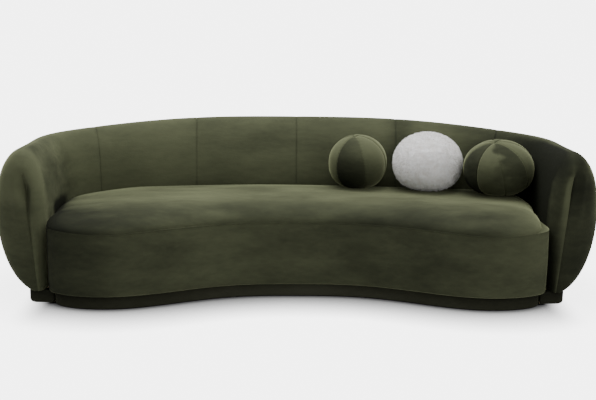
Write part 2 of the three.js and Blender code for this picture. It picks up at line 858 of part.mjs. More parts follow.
// The outline of the back's plinth: along the foot of the back, with rounded corners at the arms'
// fronts, and back along the inside.
function backPlinthOutline(inset) {
  const corner = armPlinthCorner - inset;
  const front = noseLength - armPlinthInset - inset;
  const insideOut = backPlinthInsideOut + inset;
  const outerOut = (share) => sectionSizes(share).footOut - inset;
  const at = (share, n, forward) => {
    const { place, out, along } = stationAt(share);
    const end = Math.sign(share) * forward;
    return { x: place.x + out.x * n + along.x * end, y: place.y + out.y * n + along.y * end };
  };
  const end = (side) => {
    const turn = Array.from({ length: armPlinthCornerSteps + 1 }, (_, k) => {
      const angle = (k / armPlinthCornerSteps) * (Math.PI / 2);
      const n = outerOut(side) - corner * (1 - Math.cos(angle));
      return at(side, n, front - corner * (1 - Math.sin(angle)));
    });
    return [...turn, at(side, insideOut, front)];
  };
  const outer = allShares.map((share) => at(share, outerOut(share), 0));
  const inner = allShares.map((share) => at(share, insideOut, 0));
  return [...outer, ...end(1), ...inner.reverse(), ...end(-1).reverse()];
}

function addBackPlinth() {
  const outer = prism(backPlinthOutline(0), plinthBottom, plinthHeight);
  const inner = prism(backPlinthOutline(plinthCoverThickness), plinthBottom - overrun, plinthHeight + overrun);
  add("back_plinth_cover", outer.subtract(inner), darkVelvet);
  const board = backPlinthOutline(plinthCoverThickness + gap);
  add("back_plinth_board", prism(board, plinthBottom, plinthHeight), plywood);
}

// Glides, under the middle of the boards of both plinths.
function addGlides() {
  const boardMiddle = seatPlinthInset + plinthCoverThickness + gap + plinthBoard / 2;
  const underBoard = outlineInset(boardMiddle);
  const count = outline.length;
  const front = seatGlideSteps.flatMap((k) => [underBoard[k], underBoard[(count - k) % count]]);
  const back = backGlideShares.flatMap((share) =>
    [-share, share].map((side) => {
      const { place, out } = stationAt(side);
      const n = (backPlinthInsideOut + sectionSizes(side).footOut) / 2;
      return { x: place.x + out.x * n, y: place.y + out.y * n };
    }),
  );
  [...front, ...back].forEach(({ x, y }, i) => {
    const disc = new THREE.CylinderGeometry(glideRadius, glideRadius, glideHeight, glideSides)
      .rotateX(Math.PI / 2)
      .translate(x, y, glideHeight / 2);
    add(`glide_${i + 1}`, solidOf(disc), plastic);
  });
}

// Ball cushions

// A ball sewn from panels that run from pole to pole, drawn in a little along each seam.
function ballRings(cushion, inset, centre) {
  const pointsRound = inset > 0 ? cushionInsidePointsRound : cushionPointsRound;
  const wide = cushion.width / 2 - inset;
  const tall = cushion.height / 2 - inset;
  const turn = THREE.MathUtils.degToRad(cushion.turn);
  return Array.from({ length: cushionRows }, (_, j) => {
    const rise = Math.PI * ((j + 0.5) / cushionRows - 0.5);
    return Array.from({ length: pointsRound }, (_, i) => {
      const angle = (i / pointsRound) * 2 * Math.PI;
      const seam = Math.abs(Math.cos((cushion.panels * angle) / 2)) ** cushionSeamSharpness;
      const radius = (wide - seam * cushionSeamDepth) * Math.cos(rise);
      return new THREE.Vector3(
        centre.x + radius * Math.cos(angle - turn),
        centre.y + radius * Math.sin(angle - turn),
        centre.z + tall * Math.sin(rise),
      );
    });
  });
}

// Each cushion sinks a little way into the seat and the back, so it is flat where it rests on them.
function cushionSolid(cushion, inset, centre) {
  const seat = seatSolid(-(gap + inset), baseHeight);
  const back = backSolid(-1, 1, -(gap + inset), baseHeight);
  return loft(ballRings(cushion, inset, centre)).subtract(seat).subtract(back);
}

function addCushion(cushion) {
  const seatTop = seatSeamHeight + seatCrown;
  const centre = new THREE.Vector3(
    cushion.acrossShare * insideHalfWidth,
    -cushion.forwardShare * insideBackDepth,
    seatTop + cushion.height / 2 - cushionSink,
  );
  const wall = cushionSolid(cushion, 0, centre).subtract(cushionSolid(cushion, cushionCoverThickness, centre));
  // The zip is low at the back of the cushion, above the seat.
  const slot = (room) =>
    box(
      zipLength + 2 * room,
      cushion.width / 2,
      zipWidth + 2 * room,
      new THREE.Vector3(
        centre.x,
        centre.y + (Math.sqrt(1 - zipDropShare ** 2) * cushion.width) / 2,
        centre.z - (zipDropShare * cushion.height) / 2,
      ),
    );
  const finish = { colour: cushion.colour, roughness: 0.95, metalness: 0 };
  add(`${cushion.name}_cushion_cover`, wall.subtract(slot(gap)), finish);
  add(`${cushion.name}_cushion_zip`, wall.intersect(slot(0)), plastic);
  add(`${cushion.name}_cushion_fill`, cushionSolid(cushion, cushionCoverThickness + gap, centre), fill);
}

addSeatCovers();
addSeatWelt();
addSeatFoam();
addSeatFrame();
addWebbing();
addSeatDustCover();
addBackCover();
addBackFoam();
addBasePlate();
addBackFrame();
addSeatPlinth();
addBackPlinth();
addGlides();
addBolts();
cushions.forEach(addCushion);

// The origin goes to the floor, below the middle of the sofa's box.
const middle = new THREE.Box3().setFromObject(sofa).getCenter(new THREE.Vector3());
sofa.position.set(-middle.x, -middle.y, 0);

export default sofa;
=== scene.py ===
# %% [markdown]
# # A curved sofa in olive velvet
# The sofa has a bean-shaped seat held in the curve of a bowl-shaped back that runs round into both
# arms. Velvet covers all of it, and three loose ball cushions lie on the seat.
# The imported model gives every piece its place. This notebook dresses it: each cover is worked out
# again as a fine smooth surface from the same sizes, then gets its seams, creases and cloth.

# %% Load the frame
import json
import math

import bpy
import numpy as np
from mathutils import Matrix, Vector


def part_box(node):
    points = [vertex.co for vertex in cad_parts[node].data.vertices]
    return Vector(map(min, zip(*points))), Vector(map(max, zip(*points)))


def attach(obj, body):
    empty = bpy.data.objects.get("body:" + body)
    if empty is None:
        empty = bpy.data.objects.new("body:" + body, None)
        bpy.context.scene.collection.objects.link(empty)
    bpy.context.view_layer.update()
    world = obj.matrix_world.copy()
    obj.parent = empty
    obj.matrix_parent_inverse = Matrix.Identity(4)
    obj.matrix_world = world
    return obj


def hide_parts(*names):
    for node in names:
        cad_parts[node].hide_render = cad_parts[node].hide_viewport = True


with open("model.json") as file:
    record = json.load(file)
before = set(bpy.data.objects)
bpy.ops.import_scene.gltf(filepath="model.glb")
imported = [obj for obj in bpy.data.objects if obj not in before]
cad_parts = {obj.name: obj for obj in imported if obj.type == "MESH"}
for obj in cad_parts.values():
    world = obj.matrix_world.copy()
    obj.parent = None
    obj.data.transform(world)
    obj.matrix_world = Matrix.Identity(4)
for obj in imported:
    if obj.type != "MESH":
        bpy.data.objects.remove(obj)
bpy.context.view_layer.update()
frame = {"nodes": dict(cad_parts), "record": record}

# %% [markdown]
# ## Camera
# The picture is taken from about 4.3 m in front and 1.2 m up, looking a little down. Four lines of
# the sofa fix such a view: its two ends, its top and the front of its plinths. The camera's three
# axes are worked out from the way that it looks and its small roll, and go into its matrix.

# %% Camera
camera_place = np.array([-0.1006, -4.3246, 1.2172])
look_down, look_right, roll = math.radians(10.85), math.radians(1.375), math.radians(0.595)
photo_width, focal_pixels, sensor_mm = 596, 928.4, 36


def add_object(name, data):
    """A new object in the scene."""
    made = bpy.data.objects.new(name, data)
    bpy.context.scene.collection.objects.link(made)
    return made


def stand(thing, place, right, up, back):
    """Puts an object in its place, with its x, y and z axes along right, up and back."""
    turned = np.eye(4)
    turned[:3] = np.stack([right, up, back, place], 1)
    thing.matrix_world = Matrix(turned.tolist())


forward = np.array([
    math.sin(look_right) * math.cos(look_down),
    math.cos(look_right) * math.cos(look_down),
    -math.sin(look_down),
])
level_right = np.array([math.cos(look_right), -math.sin(look_right), 0.0])
level_down = np.cross(forward, level_right)
picture_right = math.cos(roll) * level_right - math.sin(roll) * level_down
picture_down = math.sin(roll) * level_right + math.cos(roll) * level_down

camera = add_object("camera", bpy.data.cameras.new("camera"))
stand(camera, camera_place, picture_right, -picture_down, -forward)
camera.data.sensor_width = sensor_mm
camera.data.lens = focal_pixels * sensor_mm / photo_width
camera.data.clip_end = 100
bpy.context.scene.camera = camera
print("lens, mm:", round(camera.data.lens, 2), "image down:", level_down.round(3))

# %% [markdown]
# ## Floor and light
# A studio picture needs a plain pale floor that runs on into a plain pale background. Both are lit
# far more than the sofa, so the camera sees a glowing floor and world, and every other ray meets
# an ordinary pale floor and a dimmer world. The floor's glow fades where the sofa shades it, which
# gives the soft contact shadow. Velvet shows its nap under broad soft light: one large lamp hangs
# overhead and a weaker one stands in front.

# %% Small helpers for colours and nodes
def linear(hex_colour):
    """sRGB hex to linear: c / 12.92 up to 0.04045, and ((c + 0.055) / 1.055) ** 2.4 above."""
    c = np.array([int(hex_colour[i : i + 2], 16) for i in (1, 3, 5)]) / 255
    return (*np.where(c <= 0.04045, c / 12.92, ((c + 0.055) / 1.055) ** 2.4), 1.0)


def node(tree, kind, links=(), **settings):
    """Adds a node. A setting names a property, or an input when it starts with in_ and a number or
    name. A link is (an output, or a node for its first output, name or number of this node's input)."""
    made = tree.nodes.new("ShaderNode" + kind)
    for key, value in settings.items():
        if key.startswith("in_"):
            spot = key[3:]
            made.inputs[int(spot) if spot.isdigit() else spot.replace("_", " ")].default_value = value
        else:
            setattr(made, key, value)
    for source, spot in links:
        output = source.outputs[0] if isinstance(source, bpy.types.Node) else source
        tree.links.new(output, made.inputs[spot])
    return made


def empty_material(name):
    """A new material with an empty node tree."""
    material = bpy.data.materials.new(name)
    material.use_nodes = True
    material.node_tree.nodes.clear()
    return material, material.node_tree


def show(tree, to_camera, to_light, output):
    """Gives the camera one shader and every other ray another."""
    ray = node(tree, "LightPath")
    either = node(tree, "MixShader", [(ray.outputs["Is Camera Ray"], 0), (to_light, 1), (to_camera, 2)])
    node(tree, output, [(either, "Surface")])


# %% Floor
studio_glow, floor_radius, floor_corners = 5.3, 60, 64
around = np.linspace(0, 2 * np.pi, floor_corners, endpoint=False)
rim = np.column_stack([floor_radius * np.cos(around), floor_radius * np.sin(around), 0 * around])
floor_mesh = bpy.data.meshes.new("floor")
floor_mesh.from_pydata(rim.tolist(), [], [list(range(floor_corners))])
floor = add_object("floor", floor_mesh)

material, tree = empty_material("pale studio floor")
shade = node(tree, "AmbientOcclusion", samples=16, in_Distance=0.3)
fade = node(tree, "Math", [(shade.outputs["AO"], 0)], operation="POWER", in_1=3.4)
# More than about 1.1 m from the middle, light reaches in under the sofa's round ends, and the shade
# loses up to four fifths: fade + (1 - fade) 0.8 smooth(|x|, 1.08, 1.23).
place = node(tree, "SeparateXYZ", [(node(tree, "TexCoord").outputs["Object"], 0)])
to_end = node(tree, "Math", [(place.outputs["X"], 0)], operation="ABSOLUTE")
weaker = node(
    tree, "MapRange", [(to_end, "Value")], interpolation_type="SMOOTHSTEP",
    in_From_Min=1.08, in_From_Max=1.23, in_To_Min=0.0, in_To_Max=0.8,
)
lost = node(tree, "Math", [(fade, 1)], operation="SUBTRACT", in_0=1.0)
fade = node(tree, "Math", [(lost, 0), (weaker, 1), (fade, 2)], operation="MULTIPLY_ADD")
glow = node(tree, "Math", [(fade, 0)], operation="MULTIPLY", in_1=studio_glow)
seen = node(tree, "Emission", [(glow, "Strength")], in_Color=(1, 1, 1, 1))
show(tree, seen, node(tree, "BsdfDiffuse", in_Color=linear("#cfcfcf")), "OutputMaterial")
floor_mesh.materials.append(material)

# %% World and lamps
world = bpy.data.worlds.new("studio")
bpy.context.scene.world = world
world.use_nodes = True
tree = world.node_tree
tree.nodes.clear()
seen, soft = (node(tree, "Background", in_Color=(1, 1, 1, 1), in_Strength=s) for s in (studio_glow, 0.5))
show(tree, seen, soft, "OutputWorld")


def add_lamp(name, place, aim, size, watts):
    """A rectangular soft lamp at a place in metres, turned to face its aim."""
    lamp = add_object(name, bpy.data.lights.new(name, "AREA"))
    lamp.data.shape = "RECTANGLE"
    lamp.data.size, lamp.data.size_y = size
    lamp.data.energy = watts
    back = np.subtract(place, aim) / np.linalg.norm(np.subtract(place, aim))
    side = np.cross([0.0, 1.0, 0.0] if abs(back[2]) > 0.9 else [0.0, 0.0, 1.0], back)
    side /= np.linalg.norm(side)
    stand(lamp, place, side, np.cross(back, side), back)
    lamp.visible_camera = False


add_lamp("overhead_lamp", (-0.3, 0.1, 3.2), (-0.1, 0, 0.3), (3.6, 2.0), 125)
add_lamp("front_lamp", (2.8, -3.4, 2.0), (0, 0, 0.4), (1.8, 1.8), 30)

# %% [markdown]
# ## The sizes of the sofa
# Every surface below is worked out in millimetres in the frame of the drawing, where the foot of the
# back's inside face passes through y = 0 behind the seat, and is moved back into the frame of the
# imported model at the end. The move is read from the box of the back's middle panel.

# %% Sizes in millimetres
inside_half_width, inside_back_depth, inside_roundness, arm_straight = 1100, 330, 3.4, 242
seam_shares = [0, 0.327, 0.636, 1]
middle_section = {
    "crest_out": 150, "crest_height": 745, "belly_out": 285, "belly_height": 430, "foot_out": 118,
}
arm_section = {
    "crest_out": 84, "crest_height": 676, "belly_out": 218, "belly_height": 392, "foot_out": 76,
}
crest_fall_end_share, crest_fall_sharpness = 0.85, 1.7
middle_inside_roundness, arm_inside_roundness, outside_roundness = 1.6, 2.2, 2.1
lean_start_height, under_turn = 425, math.radians(84)
nose_length, nose_roundness = 115, 2.3
nose_seam_top, nose_seam_top_out, nose_seam_foot_out = 571, 76, 30
seat_depth, seat_bow, seat_bow_sharpness = 578, 214, 3.2
seat_corner_width, seat_corner_depth, seat_corner_roundness = 262, 148, 2.1
seat_seam_height, seat_crown, seat_front_swell = 345, 80, 8
front_crown_sharpness, crown_sharpness = 3, 9
seat_spine_share, seat_edge_round = 0.85, 16.8
plinth_height, glide_height, plinth_cloth = 62, 4, 3.5
seat_plinth_inset, arm_plinth_inset, arm_plinth_corner = 35, 14, 38
seat_clearance, gap = 2.3, 0.3
base_height = plinth_height + gap
back_plinth_inside_out = -(seat_clearance + seat_plinth_inset - gap)
seat_side_x = inside_half_width - seat_clearance
peak_x = seat_side_x - seat_corner_width
seat_front_y = -(seat_depth + seat_bow)
core_height = 380.0
# Beside a seam the cloth is tucked in by 1.6 mm, which fades over 3 mm; the seam is a slit of 1.2 mm.
seam_tuck, tuck_reach, half_slit = 1.6, 3, 0.6
# Turn and tilt are in degrees.
balls = {
    "left_green": {
        "across": 296, "forward": 108, "width": 290, "height": 272, "panels": 6, "turn": 21, "tilt": (7, 9),
    },
    "white": {"across": 630, "forward": 152, "width": 342, "height": 290},
    "right_green": {
        "across": 946, "forward": 279, "width": 336, "height": 274, "panels": 8, "turn": 3, "tilt": (15, 18),
    },
}
set_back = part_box("back_cover_panel_3")[1].y * 1000 - middle_section["belly_out"]
print("set back, mm:", round(set_back, 2))

# %% [markdown]
# ## From a grid of points to a piece
# A cover is a grid: one way runs along the sofa, the other across it. Whole arrays of points go
# into the mesh at once. Each point also carries two soft numbers for the cloth: one for the tone of
# the pile, how far it is brushed towards light or dark together with painted light and shade, and
# `rub`, how much an edge has been rubbed.

# %% Grids and pieces
def grid_faces(rows, columns, around=False):
    """Quads between each row and the next: (r, c), (r, c + 1), (r + 1, c + 1), (r + 1, c)."""
    i = np.arange(rows * columns).reshape(rows, columns)
    if around:
        i = np.column_stack([i, i[:, :1]])
    return np.stack([i[:-1, :-1], i[:-1, 1:], i[1:, 1:], i[1:, :-1]], -1).reshape(-1, 4)


def face_normals(points, quads):
    """Half the cross product of a quad's diagonals."""
    a, b, c, d = (points[quads[:, k]] for k in range(4))
    return np.cross(c - a, d - b) / 2


def facing(points, quads, inner):
    """Unit normals of the points, away from inner: the sum of the normals of the quads round each."""
    flat = points.reshape(-1, 3)
    parts = face_normals(flat, quads).T
    total = np.stack([np.bincount(quads.ravel(), np.repeat(part, 4), len(flat)) for part in parts], -1)
    total /= np.linalg.norm(total, axis=1, keepdims=True).clip(1e-9)
    away = ((flat - np.broadcast_to(inner, points.shape).reshape(-1, 3)) * total).sum()
    return (total * np.sign(away)).reshape(points.shape)


pieces = []


def make_piece(
    name, points, quads, slot, stands_for=None, inner=None, tones=None, triangles=None,
    body="sofa", flat=False,
):
    """A mesh from points in drawing millimetres, which rides on a body and stands for a solid. Where
    inner is given, points that lie inside the piece near each of its points, faces are turned to
    point away from them."""
    shape, points = np.shape(points), np.asarray(points, float).reshape(-1, 3)
    triangles = np.zeros((0, 3), int) if triangles is None else triangles
    if inner is not None:
        inner = np.broadcast_to(inner, shape).reshape(-1, 3)
        away = points[quads].mean(1) - inner[quads].mean(1)
        if (face_normals(points, quads) * away).sum() < 0:
            quads, triangles = quads[:, ::-1], triangles[:, ::-1]
    loops = np.concatenate([quads.ravel(), triangles.ravel()])
    sizes = np.repeat([4, 3], [len(quads), len(triangles)])
    mesh = bpy.data.meshes.new(name)
    mesh.vertices.add(len(points))
    mesh.vertices.foreach_set("co", ((points + [0, set_back, 0]) / 1000).ravel())
    mesh.loops.add(len(loops))
    mesh.loops.foreach_set("vertex_index", loops.astype(np.int32))
    mesh.polygons.add(len(sizes))
    mesh.polygons.foreach_set("loop_start", (np.cumsum(sizes) - sizes).astype(np.int32))
    mesh.polygons.foreach_set("use_smooth", np.full(len(sizes), not flat))
    mesh.update(calc_edges=True)
    mesh.validate()
    for key, values in (tones or {}).items():
        attribute = mesh.attributes.new(key, "FLOAT", "POINT")
        attribute.data.foreach_set("value", np.broadcast_to(values, shape[:-1]).astype(np.float32).ravel())
    piece = add_object(name, mesh)
    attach(piece, body)
    if stands_for:
        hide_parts(stands_for)
    pieces.append((piece, slot))
    return piece


# %% Soft steps, hills and noise
def smooth(x, low, high):
    """0 at low, 1 at high, and 3 t^2 - 2 t^3 between. It falls where low is the larger."""
    t = np.clip((x - low) / (high - low), 0, 1)
    return t * t * (3 - 2 * t)


def hill(x, middle, width):
    """exp(-((x - middle) / width)^2)."""
    return np.exp(-(((x - middle) / width) ** 2))


def soft_noise(points, size, seed):
    """Value noise from -1 to 1: random numbers on a lattice of the given size in mm, one size for
    each axis, blended between its eight corners by 3 t^2 - 2 t^3."""
    table = np.random.default_rng(seed).uniform(-1, 1, 4096)
    p = np.asarray(points, float) / np.asarray(size, float)
    whole = np.floor(p).astype(np.int64)
    t = smooth(p - whole, 0, 1)
    value = np.zeros(p.shape[:-1])
    for corner in range(8):
        step = np.array([corner & 1, corner >> 1 & 1, corner >> 2 & 1])
        cell = whole + step
        mixed = (cell[..., 0] * 73856093) ^ (cell[..., 1] * 19349663) ^ (cell[..., 2] * 83492791)
        weight = np.where(step == 1, t, 1 - t).prod(-1)
        value += weight * table[(mixed ^ (mixed >> 13)) & 4095]
    return value


# %% [markdown]
# ## The inside line
# One line gives every plan its shape. It is the foot of the back's inside face: straight along each
# arm, then a quarter of a squared ellipse round behind the seat. It is walked in very short steps,
# so any share of its length can be looked up, with the way along it and the way out.

# %% The inside line
def lengths_along(row):
    """How far along a row of points each lies: the sum of the steps up to it."""
    return np.concatenate([[0], np.cumsum(np.linalg.norm(np.diff(row, axis=0), axis=1))])


def look_up(at, known, row):
    """x and y on a row of points where the numbers known for its points are `at`."""
    return np.stack([np.interp(at, known, row[:, k]) for k in range(2)], -1)


def way_out(loop, reach=1):
    """The way out at each point of an anticlockwise loop, square to its neighbours `reach` away."""
    tangent = np.roll(loop, -reach, 0) - np.roll(loop, reach, 0)
    tangent /= np.linalg.norm(tangent, axis=1, keepdims=True).clip(1e-9)
    return np.stack([tangent[:, 1], -tangent[:, 0]], -1)


way = np.linspace(-1, 1, 40001)
curved = 1 - arm_straight / (arm_straight + inside_half_width + inside_back_depth)
angle = np.minimum(np.abs(way) / curved, 1) * np.pi / 2
line_x = np.sign(way) * inside_half_width * np.sin(angle) ** (2 / inside_roundness)
line_y = inside_back_depth * (np.cos(angle).clip(0) ** (2 / inside_roundness) - 1)
line_y = line_y - np.maximum(np.abs(way) - curved, 0) / (1 - curved) * arm_straight
line = np.column_stack([line_x, line_y])
walked = lengths_along(line)
line_length = walked[-1]
line_share = 2 * walked / line_length - 1


def on_line(share):
    """Place, way along and way out of the inside line at shares from -1 to 1 of its half length."""
    step = 0.002
    along = look_up(np.minimum(share + step, 1), line_share, line)
    along = along - look_up(np.maximum(share - step, -1), line_share, line)
    along /= np.linalg.norm(along, axis=-1, keepdims=True)
    return look_up(share, line_share, line), along, np.stack([-along[..., 1], along[..., 0]], -1)


def beside_line(share, n, z, onward=0.0):
    """Points n out from the line at each share and z up, and onward past its ends: place + n out +
    onward along."""
    n, z, onward = np.broadcast_arrays(n, z, onward)
    place, along, out = on_line(share)
    along = along * np.sign(share)[:, None]
    flat = place[:, None] + out[:, None] * n[..., None] + along[:, None] * onward[..., None]
    return np.concatenate([flat, z[..., None]], -1)


print("inside line, mm:", round(line_length))

# %% [markdown]
# ## The back
# The back is one section carried along the inside line: up the inside face, over the crest, down
# over the belly and in under it to the foot. It changes slowly from the middle to the arms. At each
# end the section draws in to a seam that runs down the middle of the arm's front, pinched at its
# top. It could be a swept curve with a bevel, but the section changes on its way, so the points are
# worked out directly. Six panels of velvet are sewn together: near each seam the cloth dips, and
# its edges turn in.

# %% The section of the back
def section_sizes(share):
    """Sizes at a share: middle + (arm - middle) smooth(|share|), the crest's height by
    smooth((|share| / 0.85)^1.7) in its place."""
    t = smooth(np.abs(share), 0, 1)[..., None]
    sizes = {k: middle_section[k] + (arm_section[k] - middle_section[k]) * t for k in middle_section}
    fall = smooth((np.abs(share) / crest_fall_end_share) ** crest_fall_sharpness, 0, 1)[..., None]
    sizes["crest_height"] = middle_section["crest_height"] * (1 - fall) + arm_section["crest_height"] * fall
    roundness = middle_inside_roundness + (arm_inside_roundness - middle_inside_roundness) * t
    sizes["inside_power"] = 2 / roundness
    return sizes


section_steps = {"hem": 3, "face": 26, "inside": 52, "outside": 52, "under": 46}
crest_column = section_steps["hem"] + section_steps["face"] + section_steps["inside"]


def back_section(share, fine=1.0):
    """The section as n out from the inside line and z up, one row of points a share. Inside the
    crest n = crest (1 - cos^p), z = 425 + rise sin^p; outside n and z follow a squared ellipse out
    to the belly; under it they follow 84 degrees of an ellipse in to the foot."""
    s = section_sizes(share)
    count = {k: max(2, int(v * fine)) for k, v in section_steps.items()}
    flat = lambda values: np.repeat(np.asarray(values, float)[None], len(share), 0)
    a = np.linspace(0, np.pi / 2, count["inside"], endpoint=False)[None]
    b = np.linspace(0, np.pi / 2, count["outside"], endpoint=False)[None]
    c = np.linspace(0, under_turn, count["under"])[None]
    power, outer = s["inside_power"], 2 / outside_roundness
    inward = (1 - np.cos(c)) / (1 - math.cos(under_turn))
    level = flat(np.full(count["hem"], base_height))
    n = [
        flat(np.linspace(16, 0, count["hem"], endpoint=False)),
        flat(np.zeros(count["face"])),
        s["crest_out"] * (1 - np.cos(a) ** power),
        s["crest_out"] + (s["belly_out"] - s["crest_out"]) * np.sin(b) ** outer,
        s["belly_out"] - (s["belly_out"] - s["foot_out"]) * inward,
        s["foot_out"] - flat(np.linspace(5, 16, count["hem"])),
    ]
    z = [
        level,
        flat(np.linspace(base_height, lean_start_height, count["face"], endpoint=False)),
        lean_start_height + (s["crest_height"] - lean_start_height) * np.sin(a) ** power,
        s["belly_height"] + (s["crest_height"] - s["belly_height"]) * np.cos(b) ** outer,
        s["belly_height"] - (s["belly_height"] - base_height) * np.sin(c) / math.sin(under_turn),
        level,
    ]
    return np.concatenate(n, 1), np.concatenate(z, 1)


def drawn_in(n, z, depth):
    """Moves an open section square to itself, inwards by depth."""
    dn, dz = np.gradient(n, axis=1), np.gradient(z, axis=1)
    length = np.hypot(dn, dz).clip(1e-6)
    return n + depth * dz / length, z - depth * dn / length


# %% The columns of a panel, round the rounded end of an arm where it reaches one
def panel_columns(from_share, to_share, spacing, end_steps=56):
    """Columns along the line between two shares, and past share 1 or -1 round the arm's end, where
    with w the share of the end's length, the section shrinks by c = (1 - w^p)^(1/p) to its seam."""
    count = int(round((to_share - from_share) * (line_length / 2) / spacing))
    share = np.linspace(from_share, to_share, count + 1)
    close = 2.4 / line_length
    share = np.concatenate([share[:1], share[:1] + close, share[1:-1], share[-1:] - close, share[-1:]])
    forward, narrow = np.zeros(count + 3), np.ones(count + 3)
    turn = np.pi / 2 * (1 - (1 - np.linspace(0, 1, end_steps + 1)[1:]) ** 1.6)
    w = np.sin(turn) ** (2 / nose_roundness)
    c = np.maximum(np.cos(turn), 0) ** (2 / nose_roundness)
    if to_share >= 1:
        share = np.concatenate([share, np.ones(end_steps)])
        forward, narrow = np.concatenate([forward, w * nose_length]), np.concatenate([narrow, c])
    if from_share <= -1:
        share = np.concatenate([-np.ones(end_steps), share])
        forward, narrow = np.concatenate([w[::-1] * nose_length, forward]), np.concatenate([c[::-1], narrow])
    return share, forward, narrow


def shrunk_to_seam(n, z, narrow, lower=0.0):
    """Moves a section towards the seam down the front of an arm, whose top is held lower, and gives
    how far its points then are from the seam, out and up."""
    seam_z = np.minimum(z, nose_seam_top - lower)
    up = (seam_z - plinth_height) / (nose_seam_top - plinth_height)
    seam_n = nose_seam_foot_out + (nose_seam_top_out - nose_seam_foot_out) * up
    off_n, off_z = (n - seam_n) * narrow[:, None], (z - seam_z) * narrow[:, None]
    return seam_n + off_n, seam_z + off_z, off_n, off_z


# %% The pile of the back
def back_nap_and_shade(points, inner, outside, share, forward):
    """The tone of the back as a sum of soft patches, mostly painted light and shade, in two parts: inside
    the crest, and outside it, where painted shade makes it darker low down and painted light makes it
    lighter near the crest."""
    face = facing(points, grid_faces(*points.shape[:2]), inner)
    share, front, z = share[:, None], smooth(forward, 0, 60)[:, None], points[..., 2]
    left_facing, right_facing = np.maximum(-face[..., 0], 0), np.maximum(face[..., 0], 0)
    left_arm, right_arm = smooth(-share, 0.9, 1), smooth(share, 0.9, 1)

    # Inside, painted light and shade: lighter left of the middle, dark where it faces left, and dark in
    # the bend of each arm and on the right arm's crest.
    within = 0.4 + 0.3 * smooth(-share, 0.2, 0.4)
    within = within - 1.9 * left_facing**1.3 * smooth(share, 0.4, 0.7) * (1 - 0.55 * front)
    within = within - 0.75 * smooth(-share, 0.7, 0.84) * (1 - front)
    within = within - 0.35 * smooth(-share, 0.69, 0.8) * smooth(z, 640, 520) * (1 - front)
    within = within - 0.7 * smooth(share, 0.72, 0.92) * smooth(z, 510, 630)
    # Painted shadow: dark in the gap beside the seat's left end, and where the balls shade the back.
    within = within - 0.8 * smooth(-share, 0.74, 0.8) * smooth(-share, 0.97, 0.9) * smooth(z, 435, 385)
    within = within - 0.4 * (1.5 * hill(share, 0.345, 0.045) + hill(share, 0.62, 0.07)) * smooth(z, 450, 560)
    # Painted light and shade on the front of the left arm: pale high up and on its inner edge low down,
    # dark where it faces left.
    within = within + left_arm * front * 0.2 * smooth(z, 400, 560)
    within = within - left_arm * (0.9 * left_facing + 0.2 * smooth(z, 600, 660))
    within = within + left_arm * 1.3 * front * smooth(right_facing, 0.7, 1) * smooth(z, 400, 300)
    # Painted highlight on the front of the right arm where it faces forward and a little to the right,
    # and painted shade low down.
    ridge_highlight = smooth(0.35 * face[..., 0] - 0.94 * face[..., 1], 0.68, 0.98)
    ridge_highlight = ridge_highlight * smooth(z, 280, 520) * smooth(z, 640, 540)
    within = within + right_arm * (0.65 * ridge_highlight - 0.05 - 0.25 * smooth(z, 400, 200)) * front

    left, right = smooth(-share, 0.45, 0.85), smooth(share, 0.45, 0.85)
    # Outside, painted light and shade: paler on the left and high up, darker on the right and low down, and
    # paler where the right arm's side faces right.
    without = 0.1 + 0.25 * left - 0.3 * right - 0.3 * smooth(z, 420, 90)
    without = without + (1.1 * left - 0.5 * right) * smooth(z, 380, 550) - 0.75 * left * smooth(z, 600, 660)
    painted_light_on_arm_side = smooth(right_facing, 0.3, 0.9) * smooth(z, 330, 450) * smooth(z, 680, 600)
    without = without + 0.9 * right * painted_light_on_arm_side
    return within * (1 - outside) + without * outside


